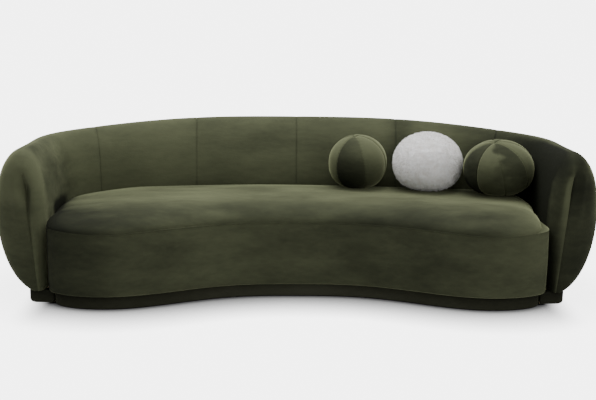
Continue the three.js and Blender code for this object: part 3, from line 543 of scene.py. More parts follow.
# %% The panels of the back
def back_panel(from_share, to_share, spacing):
    """Points of one panel, points inside the back, and the two soft numbers of its cloth. Along a
    seam with another panel two more rows turn the cloth in."""
    share, forward, narrow = panel_columns(from_share, to_share, spacing)
    turned_in = np.zeros(len(share))
    if from_share > -1:
        share, forward, narrow = (np.concatenate([v[:1], v[:1], v]) for v in (share, forward, narrow))
        turned_in = np.concatenate([[9, 1], turned_in])
    if to_share < 1:
        share, forward, narrow = (np.concatenate([v, v[-1:], v[-1:]]) for v in (share, forward, narrow))
        turned_in = np.concatenate([turned_in, [1, 9]])
    n, z = back_section(share)
    seam_reach = np.minimum(share - from_share, to_share - share) * line_length / 2
    if to_share >= 1:
        seam_reach = (share - from_share) * line_length / 2 + forward
    if from_share <= -1:
        seam_reach = (to_share - share) * line_length / 2 + forward
    dip = 1.3 * np.exp(-seam_reach / 3) + 0.6 * hill(seam_reach, 0, 22)
    n, z = drawn_in(n, z, (dip + turned_in)[:, None])
    # The padding of the arms swells a little inwards near their fronts.
    swell = 8 * smooth(np.abs(share), 0.84, 1)[:, None] * np.exp(-(((z - 330) / 180) ** 4))
    n = n - swell * smooth(60 - n, 0, 60)

    # At the arm's end the section shrinks to its seam. The seam is drawn in most below its top, where
    # the pile of cloth makes a dart, and the padding swells a little on both sides of it.
    n, z, off_n, off_z = shrunk_to_seam(n, z, narrow)
    off_seam = np.hypot(off_n, off_z)
    at_end = smooth(forward, 0.5 * nose_length, 0.95 * nose_length)[:, None]
    pinch = (hill(z, 512, 55) + 0.25 * hill(z, 400, 130)) * (1 - 0.7 * (share > 0))[:, None]
    groove = (2.5 + 27 * pinch) * np.exp(-((off_seam / (3.5 + 13 * pinch)) ** 1.1))
    shoulder = 6 * hill(off_seam, 42, 22) * smooth(z, 250, 420) * smooth(z, 640, 540)
    points = beside_line(share, n, z, forward[:, None] + (shoulder - groove) * at_end)
    inner = beside_line(share, (n.min(1) + n.max(1))[:, None] / 2, core_height)

    outside = smooth(np.arange(n.shape[1])[None], crest_column - 6, crest_column + 12)
    # Painted shade in the valley beside the dart of the left arm.
    painted_dart_shade = hill(off_seam, 14, 14) * hill(z, 450, 65) * smooth(-off_n, 0, 8) * (share < 0)[:, None]
    nap_and_shade = back_nap_and_shade(points, inner, outside, share, forward)
    nap_and_shade = nap_and_shade - 0.4 * np.exp(-seam_reach / 3)[:, None] - 0.45 * at_end * painted_dart_shade
    return points, inner, {"nap_and_shade": nap_and_shade, "rub": 0.1 * at_end * np.exp(-off_seam / 8)}


seams = [-s for s in seam_shares[:0:-1]] + seam_shares
slack = 0.12 / line_length
arm_spacing, middle_spacing = 4.5, 6.5
for k in range(6):
    start, stop = seams[k] + slack * (k > 0), seams[k + 1] - slack * (k < 5)
    points, inner, tones = back_panel(start, stop, arm_spacing if k in (0, 5) else middle_spacing)
    piece = make_piece(
        f"back_velvet_panel_{k + 1}", points, grid_faces(*points.shape[:2]), "velvet",
        f"back_cover_panel_{k + 1}", inner, tones,
    )
    print(piece.name, points.shape[0], "x", points.shape[1], "points")

# %% The foam inside the back
foam_depth, foam_wall = 17, 12
share, forward, narrow = panel_columns(-1, 1, 16.0)
n, z = drawn_in(*back_section(share, 0.5), foam_depth)
n, z, _, _ = shrunk_to_seam(n, z, narrow, foam_depth)
shorter = (forward * (1 - 2.6 * foam_depth / nose_length))[:, None]
back_foam = make_piece(
    "back_foam_layer", beside_line(share, n, z, shorter), grid_faces(*n.shape), "foam", "back_foam",
    beside_line(share, np.full((len(share), 1), 60.0), core_height),
)
wall = back_foam.modifiers.new("wall", "SOLIDIFY")
wall.thickness, wall.offset, wall.use_rim = foam_wall / 1000, -1, True
print("back foam:", n.shape)

# %% [markdown]
# ## The seat's outline
# The seat is bean-shaped: its front bows out to a rounded peak at each side, and its sides and rear
# follow the inside line a little way in. The outline is worked out once in fine steps, each with
# its way out, so that a ring can be drawn any distance inside it.

# %% The seat's outline
front_steps, corner_steps = 600, 400


def front_edge(x):
    """y = -(depth + bow sin(pi/2 |x| / peak)^p) along the front."""
    t = np.clip(np.abs(x) / peak_x, 0, 1)
    return -seat_depth - seat_bow * np.sin(t * np.pi / 2) ** seat_bow_sharpness


def half_outline():
    """The right half from the middle of the front round to the middle of the rear. Its corner is a
    quarter of a squared ellipse: x = peak + width sin^p, y = front + depth (1 - cos^p)."""
    x = np.linspace(0, peak_x, front_steps, endpoint=False)
    a = np.linspace(0, np.pi / 2, corner_steps)
    power = 2 / seat_corner_roundness
    corner = np.stack([
        peak_x + seat_corner_width * np.sin(a) ** power,
        seat_front_y + seat_corner_depth * (1 - np.cos(a).clip(0) ** power),
    ], -1)
    place, _, out = on_line(np.linspace(1, 0, 1200))
    return np.concatenate([np.stack([x, front_edge(x)], -1), corner, place - out * seat_clearance])


def even_outline(spine_steps, side_steps):
    """The whole outline, anticlockwise from the middle of the front, with the way out at each point.
    Over the spine each rear point has the same x as the front one across from it, and the points
    round the side are evenly spaced, so that the rings close on the spine."""
    right = half_outline()
    length = lengths_along(right)
    rear_x, rear_length = -right[front_steps + corner_steps :, 0], length[front_steps + corner_steps :]
    reach = peak_x * seat_spine_share
    front_end = np.interp(reach, right[:front_steps, 0], length[:front_steps])
    rear_start = np.interp(-reach, rear_x, rear_length)
    front = look_up(np.linspace(0, front_end, spine_steps, endpoint=False), length, right)
    side = look_up(np.linspace(front_end, rear_start, side_steps, endpoint=False), length, right)
    across = -np.append(front[:, 0], reach)[::-1]
    rear = look_up(np.interp(across, rear_x, rear_length), length, right)
    half = np.concatenate([front, side, rear])
    points = np.concatenate([half, half[-2:0:-1] * [-1, 1]])
    return points, way_out(points, 2)


spine_steps, side_steps = 118, 280
outline, outline_out = even_outline(spine_steps, side_steps)
# Beside the fronts of the arms the padded side stands a little clear of them.
beside_arm = smooth(-outline[:, 1], 380, 560) * smooth(np.abs(outline_out[:, 0]), 0.7, 1)
outline = outline - outline_out * 9 * beside_arm[:, None]
facing_front = np.maximum(-outline_out[:, 1], 0) ** 2
frontness = smooth(outline[:, 1], -inside_back_depth, -seat_depth)
# The seam hangs a little lower where the front bows out to its two peaks.
seam_line = seat_seam_height - 12 * hill(np.abs(outline[:, 0]), peak_x, 190) * facing_front
print("outline points:", len(outline))

# %% [markdown]
# ## The seat's top
# The top is a crowned pad with boxed foam under it, so it rises steeply from the seam and then runs
# nearly flat. Rings are drawn from the seam in to a spine line midway between front and back, and
# their height is worked out from how far in they lie.

# %% The rings of the top
spine_x = np.clip(outline[:, 0], -peak_x * seat_spine_share, peak_x * seat_spine_share)
back_y = (1 - (np.abs(spine_x) / inside_half_width) ** inside_roundness) ** (1 / inside_roundness) - 1
spine = np.stack([spine_x, (front_edge(spine_x) + inside_back_depth * back_y) / 2], -1)
soft_front = frontness * smooth(facing_front, -0.1, 1.05)
sharpness = crown_sharpness * (front_crown_sharpness / crown_sharpness) ** soft_front
flare = smooth(outline_out[:, 0], 0.3, 0.95) * smooth(-outline[:, 1], 330, 600)


def crown_rings(steps, depth=0.0):
    """Rings at r = 1 - t^2: z = seam + crown sqrt(1 - r^sharpness). The last ring is the spine. The crown
    is lower by up to a quarter at the left end, and fuller by 8 mm in the middle. At the right end it
    stands back from the seam, which flares out to a corner."""
    t = np.linspace(0.0, 1.0, steps)
    r = (1 - t**2)[:, None]
    stood_back = np.minimum(r / (1 - 0.085 * flare[None]), 1)
    rise = np.sqrt(1 - stood_back ** sharpness[None])
    rise = rise * (1 - 0.2 * flare[None]) + 0.2 * flare[None] * np.sqrt(1 - r**8)
    tuck = seam_tuck * np.exp(-seat_crown * rise / tuck_reach) + depth
    edge = outline[None] - outline_out[None] * tuck[..., None]
    flat = spine[None] + (edge - spine[None]) * r[..., None]
    fuller = 8 * hill(flat[..., 0], -120, 480) * rise**2
    crown = seat_crown * (1 - 0.25 * smooth(-flat[..., 0], 720, 1060)) - depth
    height = seam_line[None] + (seat_seam_height - seam_line[None]) * rise
    height = height + half_slit + crown * rise + fuller
    return np.concatenate([flat, height[..., None]], -1), rise


# On the spine the rear point across from a front one is the same point, and so are all at its ends.
step = np.arange(len(outline))
half_count = len(outline) // 2
mirror = np.where(step > half_count, len(outline) - step, step)
on_spine = np.where(mirror >= half_count - spine_steps, half_count - mirror, np.minimum(mirror, spine_steps))
on_spine = np.where((step > half_count) & (on_spine > 0), len(outline) - on_spine, on_spine)


def closed_on_spine(rings, at_first=False):
    """Quads of rings whose last one, and first one if so asked, lies on the spine; and triangles
    where a quad has two corners in one place."""
    count = len(outline)
    same = np.arange(rings * count)
    same[-count:] = on_spine + (rings - 1) * count
    if at_first:
        same[:count] = on_spine
    quads = same[grid_faces(rings, count, around=True)]
    last, first = quads[:, 2] == quads[:, 3], quads[:, 0] == quads[:, 1]
    return quads[~(last | first)], np.concatenate([quads[last][:, :3], quads[first][:, 1:]])


def above_spine(height):
    """The spine at one height, as one ring."""
    return np.column_stack([spine, np.full(len(spine), height)])[None]


# %% The seat's top and its pile
top_points, rise = crown_rings(78)
top_quads, top_ends = closed_on_spine(len(top_points))
inner = top_points * [1, 1, 0] + [0, 0, 300]
face = facing(top_points, top_quads, inner)[..., 0]
x, y = top_points[..., 0], top_points[..., 1]
# Painted light from the right: the top is pale where it faces right and dark where it faces left.
top_nap_and_shade = 1.3 * np.maximum(face, 0) - np.maximum(-face, 0)
# Painted sheen over the rear of the crown, and a paler middle of the front roll.
top_nap_and_shade = top_nap_and_shade + 0.42 * smooth(y, -680, -400) * smooth(rise, 0.5, 1)
top_nap_and_shade = top_nap_and_shade + 0.25 * smooth(rise, 0.9, 0.4) * facing_front * hill(x, 60, 420)
top_nap_and_shade = top_nap_and_shade + 0.25 * soft_noise(top_points, (170, 50, 40), 43)
# Painted shade on the left front corner, with a ragged edge, and painted light on the right front
# corner; a painted shadow along the left edge beside the arm; and two places where a hand has
# brushed it.
ragged_shade_edge = 70 * soft_noise(top_points, (150, 45, 60), 41)
top_nap_and_shade = top_nap_and_shade - 0.65 * smooth(x + ragged_shade_edge, -560, -1060) * smooth(-y + ragged_shade_edge, 330, 800)
top_nap_and_shade = top_nap_and_shade + 0.35 * smooth(x, 500, 900) * smooth(-y, 250, 600)
top_nap_and_shade = top_nap_and_shade - 0.8 * hill(x, -1098, 60) * smooth(-y, 150, 300)
top_nap_and_shade = top_nap_and_shade - 0.3 * hill(x, -520, 200) * hill(y, -700, 120) - 0.18 * hill(x, 760, 120)
# Painted shadow round the foot of each ball.
painted_ball_shadow = np.zeros(x.shape)
for ball in balls.values():
    reach = np.hypot(x - ball["across"], y + ball["forward"]) / (ball["width"] / 2)
    painted_ball_shadow = np.maximum(painted_ball_shadow, smooth(reach, 1.2, 0.75))
make_piece(
    "seat_top_velvet", top_points, top_quads, "velvet", "seat_top_cover", inner,
    {"nap_and_shade": top_nap_and_shade - 0.5 * painted_ball_shadow, "rub": np.exp(-rise * seat_crown / 6)}, top_ends,
)
print("seat top:", len(top_points), "rings of", len(outline))

# %% [markdown]
# ## The seat's border and seam
# The border is the upright band below the top. It is rounded in at its lower edge and swells a
# little where nothing holds it. Between the top and the border runs a thin covered cord, nearly
# sunk in the seam.

# %% The border
def border_rings(rows):
    """Move in by R (1 - sqrt(1 - (1 - h / R)^2)) near the lower edge and out by swell sin(pi h / H)."""
    full_height = seat_seam_height - base_height - half_slit
    h = np.concatenate([np.zeros(3), np.linspace(0, full_height, rows)])
    low = np.clip(1 - h / seat_edge_round, 0, 1)
    inward = seat_edge_round * (1 - np.sqrt(1 - low**2))
    inward[:3] = [seat_edge_round + 18, seat_edge_round + 10, seat_edge_round + 4]
    full = np.sin(np.pi * h / (seat_seam_height - base_height)).clip(0) ** 0.9
    tuck = seam_tuck * np.exp(-(h[-1] - h) / tuck_reach)
    move = (inward + tuck)[:, None] - seat_front_swell * full[:, None] * facing_front[None]
    flat = outline[None] - outline_out[None] * move[..., None]
    height = base_height + h[:, None] * (1 + (seam_line[None] - seat_seam_height) / full_height)
    return np.concatenate([flat, height[..., None]], -1), h[:, None]


border_points, h = border_rings(58)
rings, count = border_points.shape[:2]
quads = grid_faces(rings, count, around=True)
face, x = facing(border_points, quads, above_spine(200.0))[..., 0], border_points[..., 0]
# Painted light and shade by the way the border faces: pale where it turns a little to the right, dark where
# it turns left and at its far right end. Along the front it is paler in the middle and to the right, darker
# near the left end.
border_nap_and_shade = 0.1 + 0.85 * face - 0.5 * smooth(-face, 0.75, 1) - 1.2 * np.maximum(face, 0) ** 2
border_nap_and_shade = border_nap_and_shade + 0.1 * smooth(x, -200, 500) + 0.15 * hill(x, -200, 350) - 0.2 * hill(x, -880, 140)
border_nap_and_shade = border_nap_and_shade + 0.13 * smooth(x, 250, 450) * smooth(x, 950, 800)
make_piece(
    "seat_border_velvet", border_points, quads, "velvet", "seat_border_cover", above_spine(200.0),
    {"nap_and_shade": border_nap_and_shade, "rub": np.exp(-(h[-1] - h) / 6) + 0.6 * np.exp(-h / 10)},
)

# %% The seat's foam, with the hollow that its frame stands in
def level_ring(inset, height):
    """The outline drawn in by inset, at one height."""
    return np.column_stack([outline - outline_out * inset, np.full(len(outline), height)])


frame_inset, foam_foot_inset, foam_side_inset, foam_top_depth = 30.6, 24, 16, 13.0
foam_floor, foam_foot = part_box("seat_webbing")[1].z * 1000 + gap, base_height + 3
side_heights = np.linspace(foam_foot, seat_seam_height - foam_top_depth, 13)[1:]
foam_rings = np.stack([
    above_spine(foam_floor)[0], level_ring(frame_inset, foam_floor), level_ring(frame_inset, foam_foot),
    level_ring(foam_foot_inset, foam_foot), *(level_ring(foam_side_inset, z) for z in side_heights),
    *crown_rings(26, foam_top_depth)[0],
])
quads, ends = closed_on_spine(len(foam_rings), at_first=True)
make_piece("seat_foam_block", foam_rings, quads, "foam", "seat_foam", above_spine(300.0), None, ends)
print("seat foam from", round(foam_floor), "mm up")

# %% The covered cord in the seam
cord_radius, cord_inset, cord_sides = 2.4, 1.2, 8
turn = np.linspace(0, 2 * np.pi, cord_sides, endpoint=False)
centre = np.column_stack([outline - outline_out * cord_inset, seam_line])[:, None]
out = np.column_stack([outline_out, np.zeros(count)])[:, None]
cord_points = centre + cord_radius * (out * np.cos(turn)[:, None] + [0, 0, 1] * np.sin(turn)[:, None])
make_piece(
    "seat_seam_cord", cord_points, grid_faces(count + 1, cord_sides, around=True) % (count * cord_sides),
    "velvet", "seat_welt", centre, {"nap_and_shade": border_nap_and_shade[-1][:, None] - 0.15, "rub": 0.1},
)
print("cord, mm:", 2 * cord_radius)

# %% [markdown]
# ## Plinths
# Both units stand on low recessed plinths in the same velvet, whose darker colours are painted shade
# under the covers. Each is an upright ring on its own outline with softly rounded edges. Inside each
# is a ring of plywood.

# %% Plinths
plinth_low = glide_height + gap


def upright_ring(name, loop, out, stands_for, wrapped, lower_round, nap_and_shade, upper_round=3.0):
    """A ring on a loop of points, with rounded edges: inset = R (1 - sin), height by R (1 - cos). The
    cloth is wrapped in over the top of the board. Painted shade darkens it towards its top, under the
    cover above."""
    low, high = plinth_low, plinth_height + 0.15
    q = np.linspace(0, np.pi / 2, 8)
    inset = np.concatenate([
        [lower_round + 9, lower_round + 4], lower_round * (1 - np.sin(q)),
        upper_round * (1 - np.cos(q))[1:], [9, wrapped],
    ])[:, None]
    height = np.concatenate([
        [low, low], low + lower_round * (1 - np.cos(q)), high - upper_round + upper_round * np.sin(q)[1:],
        [high, high],
    ])[:, None]
    flat = loop[None] - out[None] * inset[..., None]
    points = np.concatenate([flat, np.broadcast_to(height[..., None], (*flat.shape[:2], 1))], -1)
    inner = np.column_stack([loop - out * 40, np.full(len(loop), 30.0)])
    make_piece(
        name, points, grid_faces(*flat.shape[:2], around=True), "plinth_velvet", stands_for, inner,
        {"nap_and_shade": nap_and_shade - 0.8 * smooth(height, low, high), "rub": (inset > 1.5) * 0.5},
    )


def back_plinth_loop():
    """Along the foot outside, round a corner of 38 mm at each arm's front, and back inside."""
    share = np.linspace(-1, 1, 360)
    place, _, out = on_line(share)
    front, corner = nose_length - arm_plinth_inset, arm_plinth_corner
    q = np.linspace(0, np.pi / 2, 12)
    n = arm_section["foot_out"] - corner * (1 - np.cos(q))
    n = np.concatenate([n, np.linspace(n[-1], back_plinth_inside_out, 14)[1:]])
    f = np.concatenate([front - corner * (1 - np.sin(q)), np.full(13, front)])
    right_end = np.stack([inside_half_width + n, -(inside_back_depth + arm_straight) - f], -1)
    outer = place + out * section_sizes(share)["foot_out"]
    inner = (place + out * back_plinth_inside_out)[::-1]
    return np.concatenate([outer, right_end, inner, right_end[::-1] * [-1, 1], outer[:1]])


ring, ring_out = even_outline(90, 190)
# Painted light: the seat's plinth is paler in its middle than at its ends.
upright_ring(
    "seat_plinth_velvet", ring - ring_out * seat_plinth_inset, ring_out, "seat_plinth_cover",
    wrapped=12, lower_round=3, nap_and_shade=hill(ring[:, 0], 0, 600),
)
# The loop of the back's plinth runs clockwise, so it is read backwards.
loop = back_plinth_loop()
length = lengths_along(loop)
loop = look_up(np.linspace(0, length[-1], 1100, endpoint=False), length, loop)[::-1]
upright_ring(
    "back_plinth_velvet", loop, way_out(loop), "back_plinth_cover", wrapped=36, lower_round=15, nap_and_shade=0.0
)

# %% The plywood rings inside the plinths
seat_board_inset = 21
outer, inner = seat_plinth_inset + plinth_cloth, seat_plinth_inset + seat_board_inset
section = [(outer, plinth_low), (outer, plinth_height), (inner, plinth_height), (inner, plinth_low)]
points = np.stack([np.column_stack([ring - ring_out * i, np.full(len(ring), z)]) for i, z in section], 1)
make_piece(
    "seat_plinth_ply", points, grid_faces(len(ring) + 1, 4, around=True) % (4 * len(ring)), "plywood",
    "seat_plinth_board", points.mean(1, keepdims=True), flat=True,
)


def back_plinth_core(steps=220, cut=14):
    """Points of the plywood under the back: a section of five corners carried along the inside line
    and round a corner to the front of each arm, with a closed end. Its outer lower edge is cut off."""
    q = np.linspace(0, np.pi / 2, 8)
    q = np.append(q, q[-1])
    low, high, corner, straight = plinth_low, plinth_height, arm_plinth_corner, np.zeros(steps)
    ends = nose_length - arm_plinth_inset - plinth_cloth - corner * (1 - np.sin(q))
    share = np.concatenate([-np.ones(9), np.linspace(-1, 1, steps), np.ones(9)])
    front = np.repeat(np.concatenate([ends[::-1], straight, ends])[:, None], 5, 1)
    front[:, [0, 4]] = np.minimum(front[:, [0, 4]], ends[-1] - cut)
    turn = np.concatenate([q[::-1], straight, q])
    outer = section_sizes(share)["foot_out"][:, 0] - plinth_cloth - corner * (1 - np.cos(turn))
    inner = np.full(len(share), back_plinth_inside_out + plinth_cloth)
    n = np.stack([outer - cut, outer, outer, inner, inner], 1)
    z = np.broadcast_to(np.array([low, low + cut, high, high, low], float), n.shape).copy()
    for end in (0, -1):
        n[end], z[end] = n[end].mean(), z[end].mean()
    return beside_line(share, n, z, front)


points = back_plinth_core()
make_piece(
    "back_plinth_ply", points, grid_faces(*points.shape[:2], around=True), "plywood", "back_plinth_board",
    points.mean(1, keepdims=True), flat=True,
)
print("plinths made")

# %% [markdown]
# ## The cloth under the seat
# A thin spunbonded cloth is stapled across the underside of the seat's frame, inside the plinth, and
# keeps dust in. It hangs down by a few tenths of a millimetre between its staples and is drawn tight.

# %% The cloth under the seat
cambric_inset, cambric_height, staple_every = 57.5, 61.2, 5
share_in = np.array([1, 0.97, 0.9, 0.78, 0.6, 0.4, 0.2, 0])[:, None]
stapled = np.cos(2 * np.pi * np.arange(len(outline)) / staple_every)[None]
edge = outline - outline_out * cambric_inset
flat = spine[None] + (edge - spine)[None] * share_in[..., None]
drop = cambric_height - 0.5 * (1 - share_in**2) - 0.25 * (1 - stapled) * share_in**8
cambric_points = np.concatenate([flat, drop[..., None]], -1)
quads, ends = closed_on_spine(len(cambric_points))
cambric_cover = make_piece(
    "seat_cambric", cambric_points, quads, "cambric", "seat_dust_cover", cambric_points + [0, 0, 50],
    None, ends,
)
corner = cambric_points.reshape(-1, 3) / 1000
area = np.linalg.norm(face_normals(corner, quads), axis=1).sum()
area += np.linalg.norm(face_normals(corner, ends[:, [0, 1, 2, 2]]), axis=1).sum()
width, length = (np.ptp(edge[:, k]) / 1000 for k in range(2))
print("cloth under the seat, square metres:", round(area, 3))

# %% [markdown]
# ## Ball cushions
# Three loose balls lie on the seat against the back. Two are sewn from panels of velvet that run
# from pole to pole, cut so that the nap of each runs its own way and each shows its own tone. The
# third is in short white fur. Each starts as a slightly small ball, is remeshed evenly and blown up
# by a short cloth simulation, and is then pressed flat where it rests, and its seams are drawn in.

# %% The balls and where they rest
cushion_sink, seat_top_height = 7, seat_seam_height + seat_crown


def ball_centre(ball):
    """The middle of a ball that has sunk a little into the seat's top."""
    middle_height = seat_top_height + ball["height"] / 2 - cushion_sink
    return np.array([ball["across"], -ball["forward"], middle_height], float)


def ball_points(ball, smaller, rows, around):
    """(R c cos a, R c sin a, H sin b), with one point at each pole. c is cos b above the middle, and
    (1 - |sin b|^2.5)^(1/2.5) below it, where the weight makes the ball squat."""
    b = np.linspace(-np.pi / 2, np.pi / 2, rows)[1:-1, None]
    a = np.linspace(0, 2 * np.pi, around, endpoint=False)[None]
    wide, tall = ball["width"] / 2 - smaller, ball["height"] / 2 - smaller
    squat = np.where(b < 0, (1 - np.abs(np.sin(b)) ** 2.5) ** 0.4, np.cos(b))
    body = np.stack([wide * squat * np.cos(a), wide * squat * np.sin(a), tall * np.sin(b) + 0 * a], -1)
    points = np.concatenate([body.reshape(-1, 3), [[0, 0, -tall], [0, 0, tall]]]) + ball_centre(ball)
    i, low, high, top = np.arange(around), len(points) - 2, len(points) - 1, (rows - 3) * around
    caps = np.concatenate([
        np.column_stack([np.full(around, low), (i + 1) % around, i]),
        np.column_stack([np.full(around, high), top + i, top + (i + 1) % around]),
    ])
    return points, grid_faces(rows - 2, around, around=True), caps


def press_flat(points, room):
    """Keeps points above the seat's top and in front of the back's inside face, by room in mm. The
    nearest share of the inside line is the best of 90, then corrected three times along the line."""
    points = points.copy()
    coarse = np.linspace(0, 1, 90)
    near = on_line(coarse)[0]
    share = coarse[np.argmin(((points[:, None, :2] - near[None]) ** 2).sum(-1), 1)]
    for _ in range(3):
        place, along, out = on_line(share)
        share = np.clip(share + ((points[:, :2] - place) * along).sum(1) / (line_length / 2), 0, 1)
    place, _, out = on_line(share)
    sizes = section_sizes(share)
    power = sizes["inside_power"][:, 0]
    up = (points[:, 2] - lean_start_height) / (sizes["crest_height"][:, 0] - lean_start_height)
    lean = 1 - np.cos(np.arcsin(np.clip(up, 0, 0.999) ** (1 / power))) ** power
    excess = ((points[:, :2] - place) * out).sum(1) - sizes["crest_out"][:, 0] * lean + room
    points[:, :2] -= out * np.maximum(excess, 0)[:, None]
    points[:, 2] = np.maximum(points[:, 2], seat_top_height + room)
    return points


# %% The cloth simulation
def blown_up(points, quads, caps, pressure=4.0, cap_mm=6.0, voxel_mm=5.0, last_frame=20):
    """Remeshes a closed form evenly, blows it up for 20 frames with no gravity, and lets no point
    move further than the cap. Returns the points in mm and the quads."""
    scene = bpy.context.scene
    mesh = bpy.data.meshes.new("blown")
    mesh.from_pydata((points / 1000).tolist(), [], quads.tolist() + caps.tolist())
    blown = add_object("blown", mesh)
    remesh = blown.modifiers.new("even", "REMESH")
    remesh.mode, remesh.voxel_size = "VOXEL", voxel_mm / 1000

    def worked_out():
        return blown.evaluated_get(bpy.context.evaluated_depsgraph_get())

    def read(m):
        flat = np.empty(3 * len(m.vertices))
        m.vertices.foreach_get("co", flat)
        return flat.reshape(-1, 3) * 1000

    even = bpy.data.meshes.new_from_object(worked_out())
    blown.modifiers.clear()
    blown.data = even
    start = read(even)
    cloth = blown.modifiers.new("cloth", "CLOTH")
    cloth.settings.use_pressure = True
    cloth.settings.uniform_pressure_force = pressure
    cloth.settings.effector_weights.gravity = 0
    cloth.settings.quality = 4
    cloth.point_cache.frame_start, cloth.point_cache.frame_end = 1, last_frame
    for frame_number in range(1, last_frame + 1):
        scene.frame_set(frame_number)
    moved = read(worked_out().data) - start
    far = np.linalg.norm(moved, axis=1, keepdims=True).clip(1e-9)
    start = start + moved * np.minimum(1, cap_mm / far)
    blown.modifiers.clear()
    scene.frame_set(1)
    even.vertices.foreach_set("co", (start / 1000).ravel())
    subdivide = blown.modifiers.new("fine", "SUBSURF")
    subdivide.levels = subdivide.render_levels = 1
    fine = bpy.data.meshes.new_from_object(worked_out())
    corners = np.empty(len(fine.loops), np.int32)
    fine.loops.foreach_get("vertex_index", corners)
    result = read(fine), corners.reshape(-1, 4)
    bpy.data.objects.remove(blown)
    return result


# %% The fibre fill of each ball
for name, ball in balls.items():
    fill_points, quads, caps = ball_points(ball, 15.0, 40, 72)
    make_piece(
        f"{name}_ball_fill", press_flat(fill_points, 8.0), quads, "fibre_fill", f"{name}_cushion_fill",
        ball_centre(ball), None, caps, f"{name}_cushion",
    )
print("fills:", len(balls))

# %% Two velvet balls
gore_tones = {
    "left_green": [0.7, 0.2, -0.2, 0.75, -0.25, 0.7],
    "right_green": [0.6, -0.35, 0.3, 0.5, -0.65, 0.55, 0.0, 1.5],
}


def tilted(off, tilt):
    """The offsets along three axes of which the last runs through the poles, tilted left and forward."""
    left, front = np.radians(tilt)
    pole = np.array([-math.sin(left), -math.cos(left) * math.sin(front), math.cos(left) * math.cos(front)])
    right = np.array([1.0, 0.0, 0.0]) - pole[0] * pole
    right /= np.linalg.norm(right)
    return off @ np.stack([right, np.cross(pole, right), pole], -1)


def velvet_ball(name):
    """Each panel is full by 3 sin(pi across) mm in its middle and 3 mm in at its seams, which pucker
    every 11 mm and are drawn in by 5 mm at the poles. Its tone rises across it, and upwards as painted
    light from above."""
    ball, tones = balls[name], gore_tones[name]
    centre = ball_centre(ball)
    points, quads = blown_up(*ball_points(ball, 5.0, 64, 120))
    off = points - centre
    turned = tilted(off, ball["tilt"])
    angle = (np.arctan2(turned[:, 1], turned[:, 0]) + math.radians(ball["turn"])) % (2 * np.pi)
    panel = 2 * np.pi / ball["panels"]
    gore, across = (angle / panel).astype(int) % ball["panels"], (angle % panel) / panel
    radius = np.hypot(turned[:, 0], turned[:, 1])
    to_seam = np.abs((angle + panel / 2) % panel - panel / 2) * radius
    full = np.sin(np.pi * (angle % panel) / panel) * np.minimum(radius / (ball["width"] / 2), 1)
    pucker = 0.5 * np.cos(2 * np.pi * turned[:, 2] / 11) * np.exp(-to_seam / 9) * (radius > 25)
    push = 3.0 * full - 3.0 * hill(to_seam, 0, 3.5) + pucker - 5 * hill(radius, 0, 16)
    points = points + off / np.linalg.norm(off, axis=1, keepdims=True) * (push - 1.0)[:, None]
    points = press_flat(points, 0.6)
    height = off[:, 2] / (ball["height"] / 2)
    # Painted light from above makes each panel paler upwards.
    tone = np.array(tones)[gore] + 0.5 * (across - 0.5) + 0.55 * height
    if name == "right_green":
        # Painted shade: across one seam the pale panel runs softly and patchily into the dark one, paler
        # upwards on the pale side and darker upwards on the dark side. The last panel has a painted
        # highlight that grows paler upwards.
        ragged_shade_edge = smooth(np.degrees(angle) + 22 * soft_noise(points, (30, 30, 24), 31), 255, 285)
        crossed = (tones[5] + 0.55 * height) * (1 - ragged_shade_edge) + (tones[6] - 0.2 * height) * ragged_shade_edge
        tone = np.where((gore == 5) | (gore == 6), crossed, tone + 1.2 * (height - 0.3) * (gore == 7))
    make_piece(
        f"{name}_ball_velvet", points, quads, "ball_velvet", f"{name}_cushion_cover", centre,
        {"nap_and_shade": tone, "rub": 0.15 * np.exp(-to_seam / 4)}, None, f"{name}_cushion",
    )
    print(name, "ball:", len(quads), "faces")


velvet_ball("left_green")
velvet_ball("right_green")

# %% The white ball and its fur
white = balls["white"]
centre = ball_centre(white)
points, quads = blown_up(*ball_points(white, 9.0, 64, 120))
outward = (points - centre) / np.linalg.norm(points - centre, axis=1, keepdims=True)
clumps = 2.2 * soft_noise(points, 17, 5) + 1.2 * soft_noise(points, 7, 6)
points = press_flat(points + outward * clumps[:, None], 1.0)
make_piece(
    "white_ball_skin", points, quads, "short_fur", "white_cushion_cover", centre,
    {"nap_and_shade": clumps / 4, "rub": 0.0}, None, "white_cushion",
)

random = np.random.default_rng(11)
hairs = 26000
root = points[quads[random.integers(0, len(quads), hairs)]]
share = random.dirichlet(np.ones(4), hairs)
root = (root * share[..., None]).sum(1)
up = (root - centre) / np.linalg.norm(root - centre, axis=1, keepdims=True)
# A hair leans with its neighbours, a little its own way and down, and never into the ball.
lean = np.stack([soft_noise(root, 22, seed) for seed in (21, 22, 23)], -1)
lean = lean + random.normal(0, 0.45, (hairs, 3)) + [0, 0, -0.35]
lean -= (lean * up).sum(1, keepdims=True) * up
length = random.uniform(7, 12, hairs)[:, None]
side = np.cross(up, random.normal(size=(hairs, 3)))
side /= np.linalg.norm(side, axis=1, keepdims=True)
half = root + up * length * 0.55 + lean * length * 0.18
tip = root + up * length * 0.8 + lean * length * 0.62
blade = np.stack([root - side * 0.8, root + side * 0.8, half + side * 0.55, half - side * 0.55, tip], 1)
first = np.arange(hairs)[:, None] * 5
make_piece(
    "white_ball_fur", press_flat(blade.reshape(-1, 3), 0.5), first + [0, 1, 2, 3], "short_fur",
    tones={"nap_and_shade": np.repeat(random.uniform(-0.5, 0.5, hairs), 5), "rub": 0.0},
    triangles=first + [3, 2, 4], body="white_cushion",
)
print("hairs:", hairs)

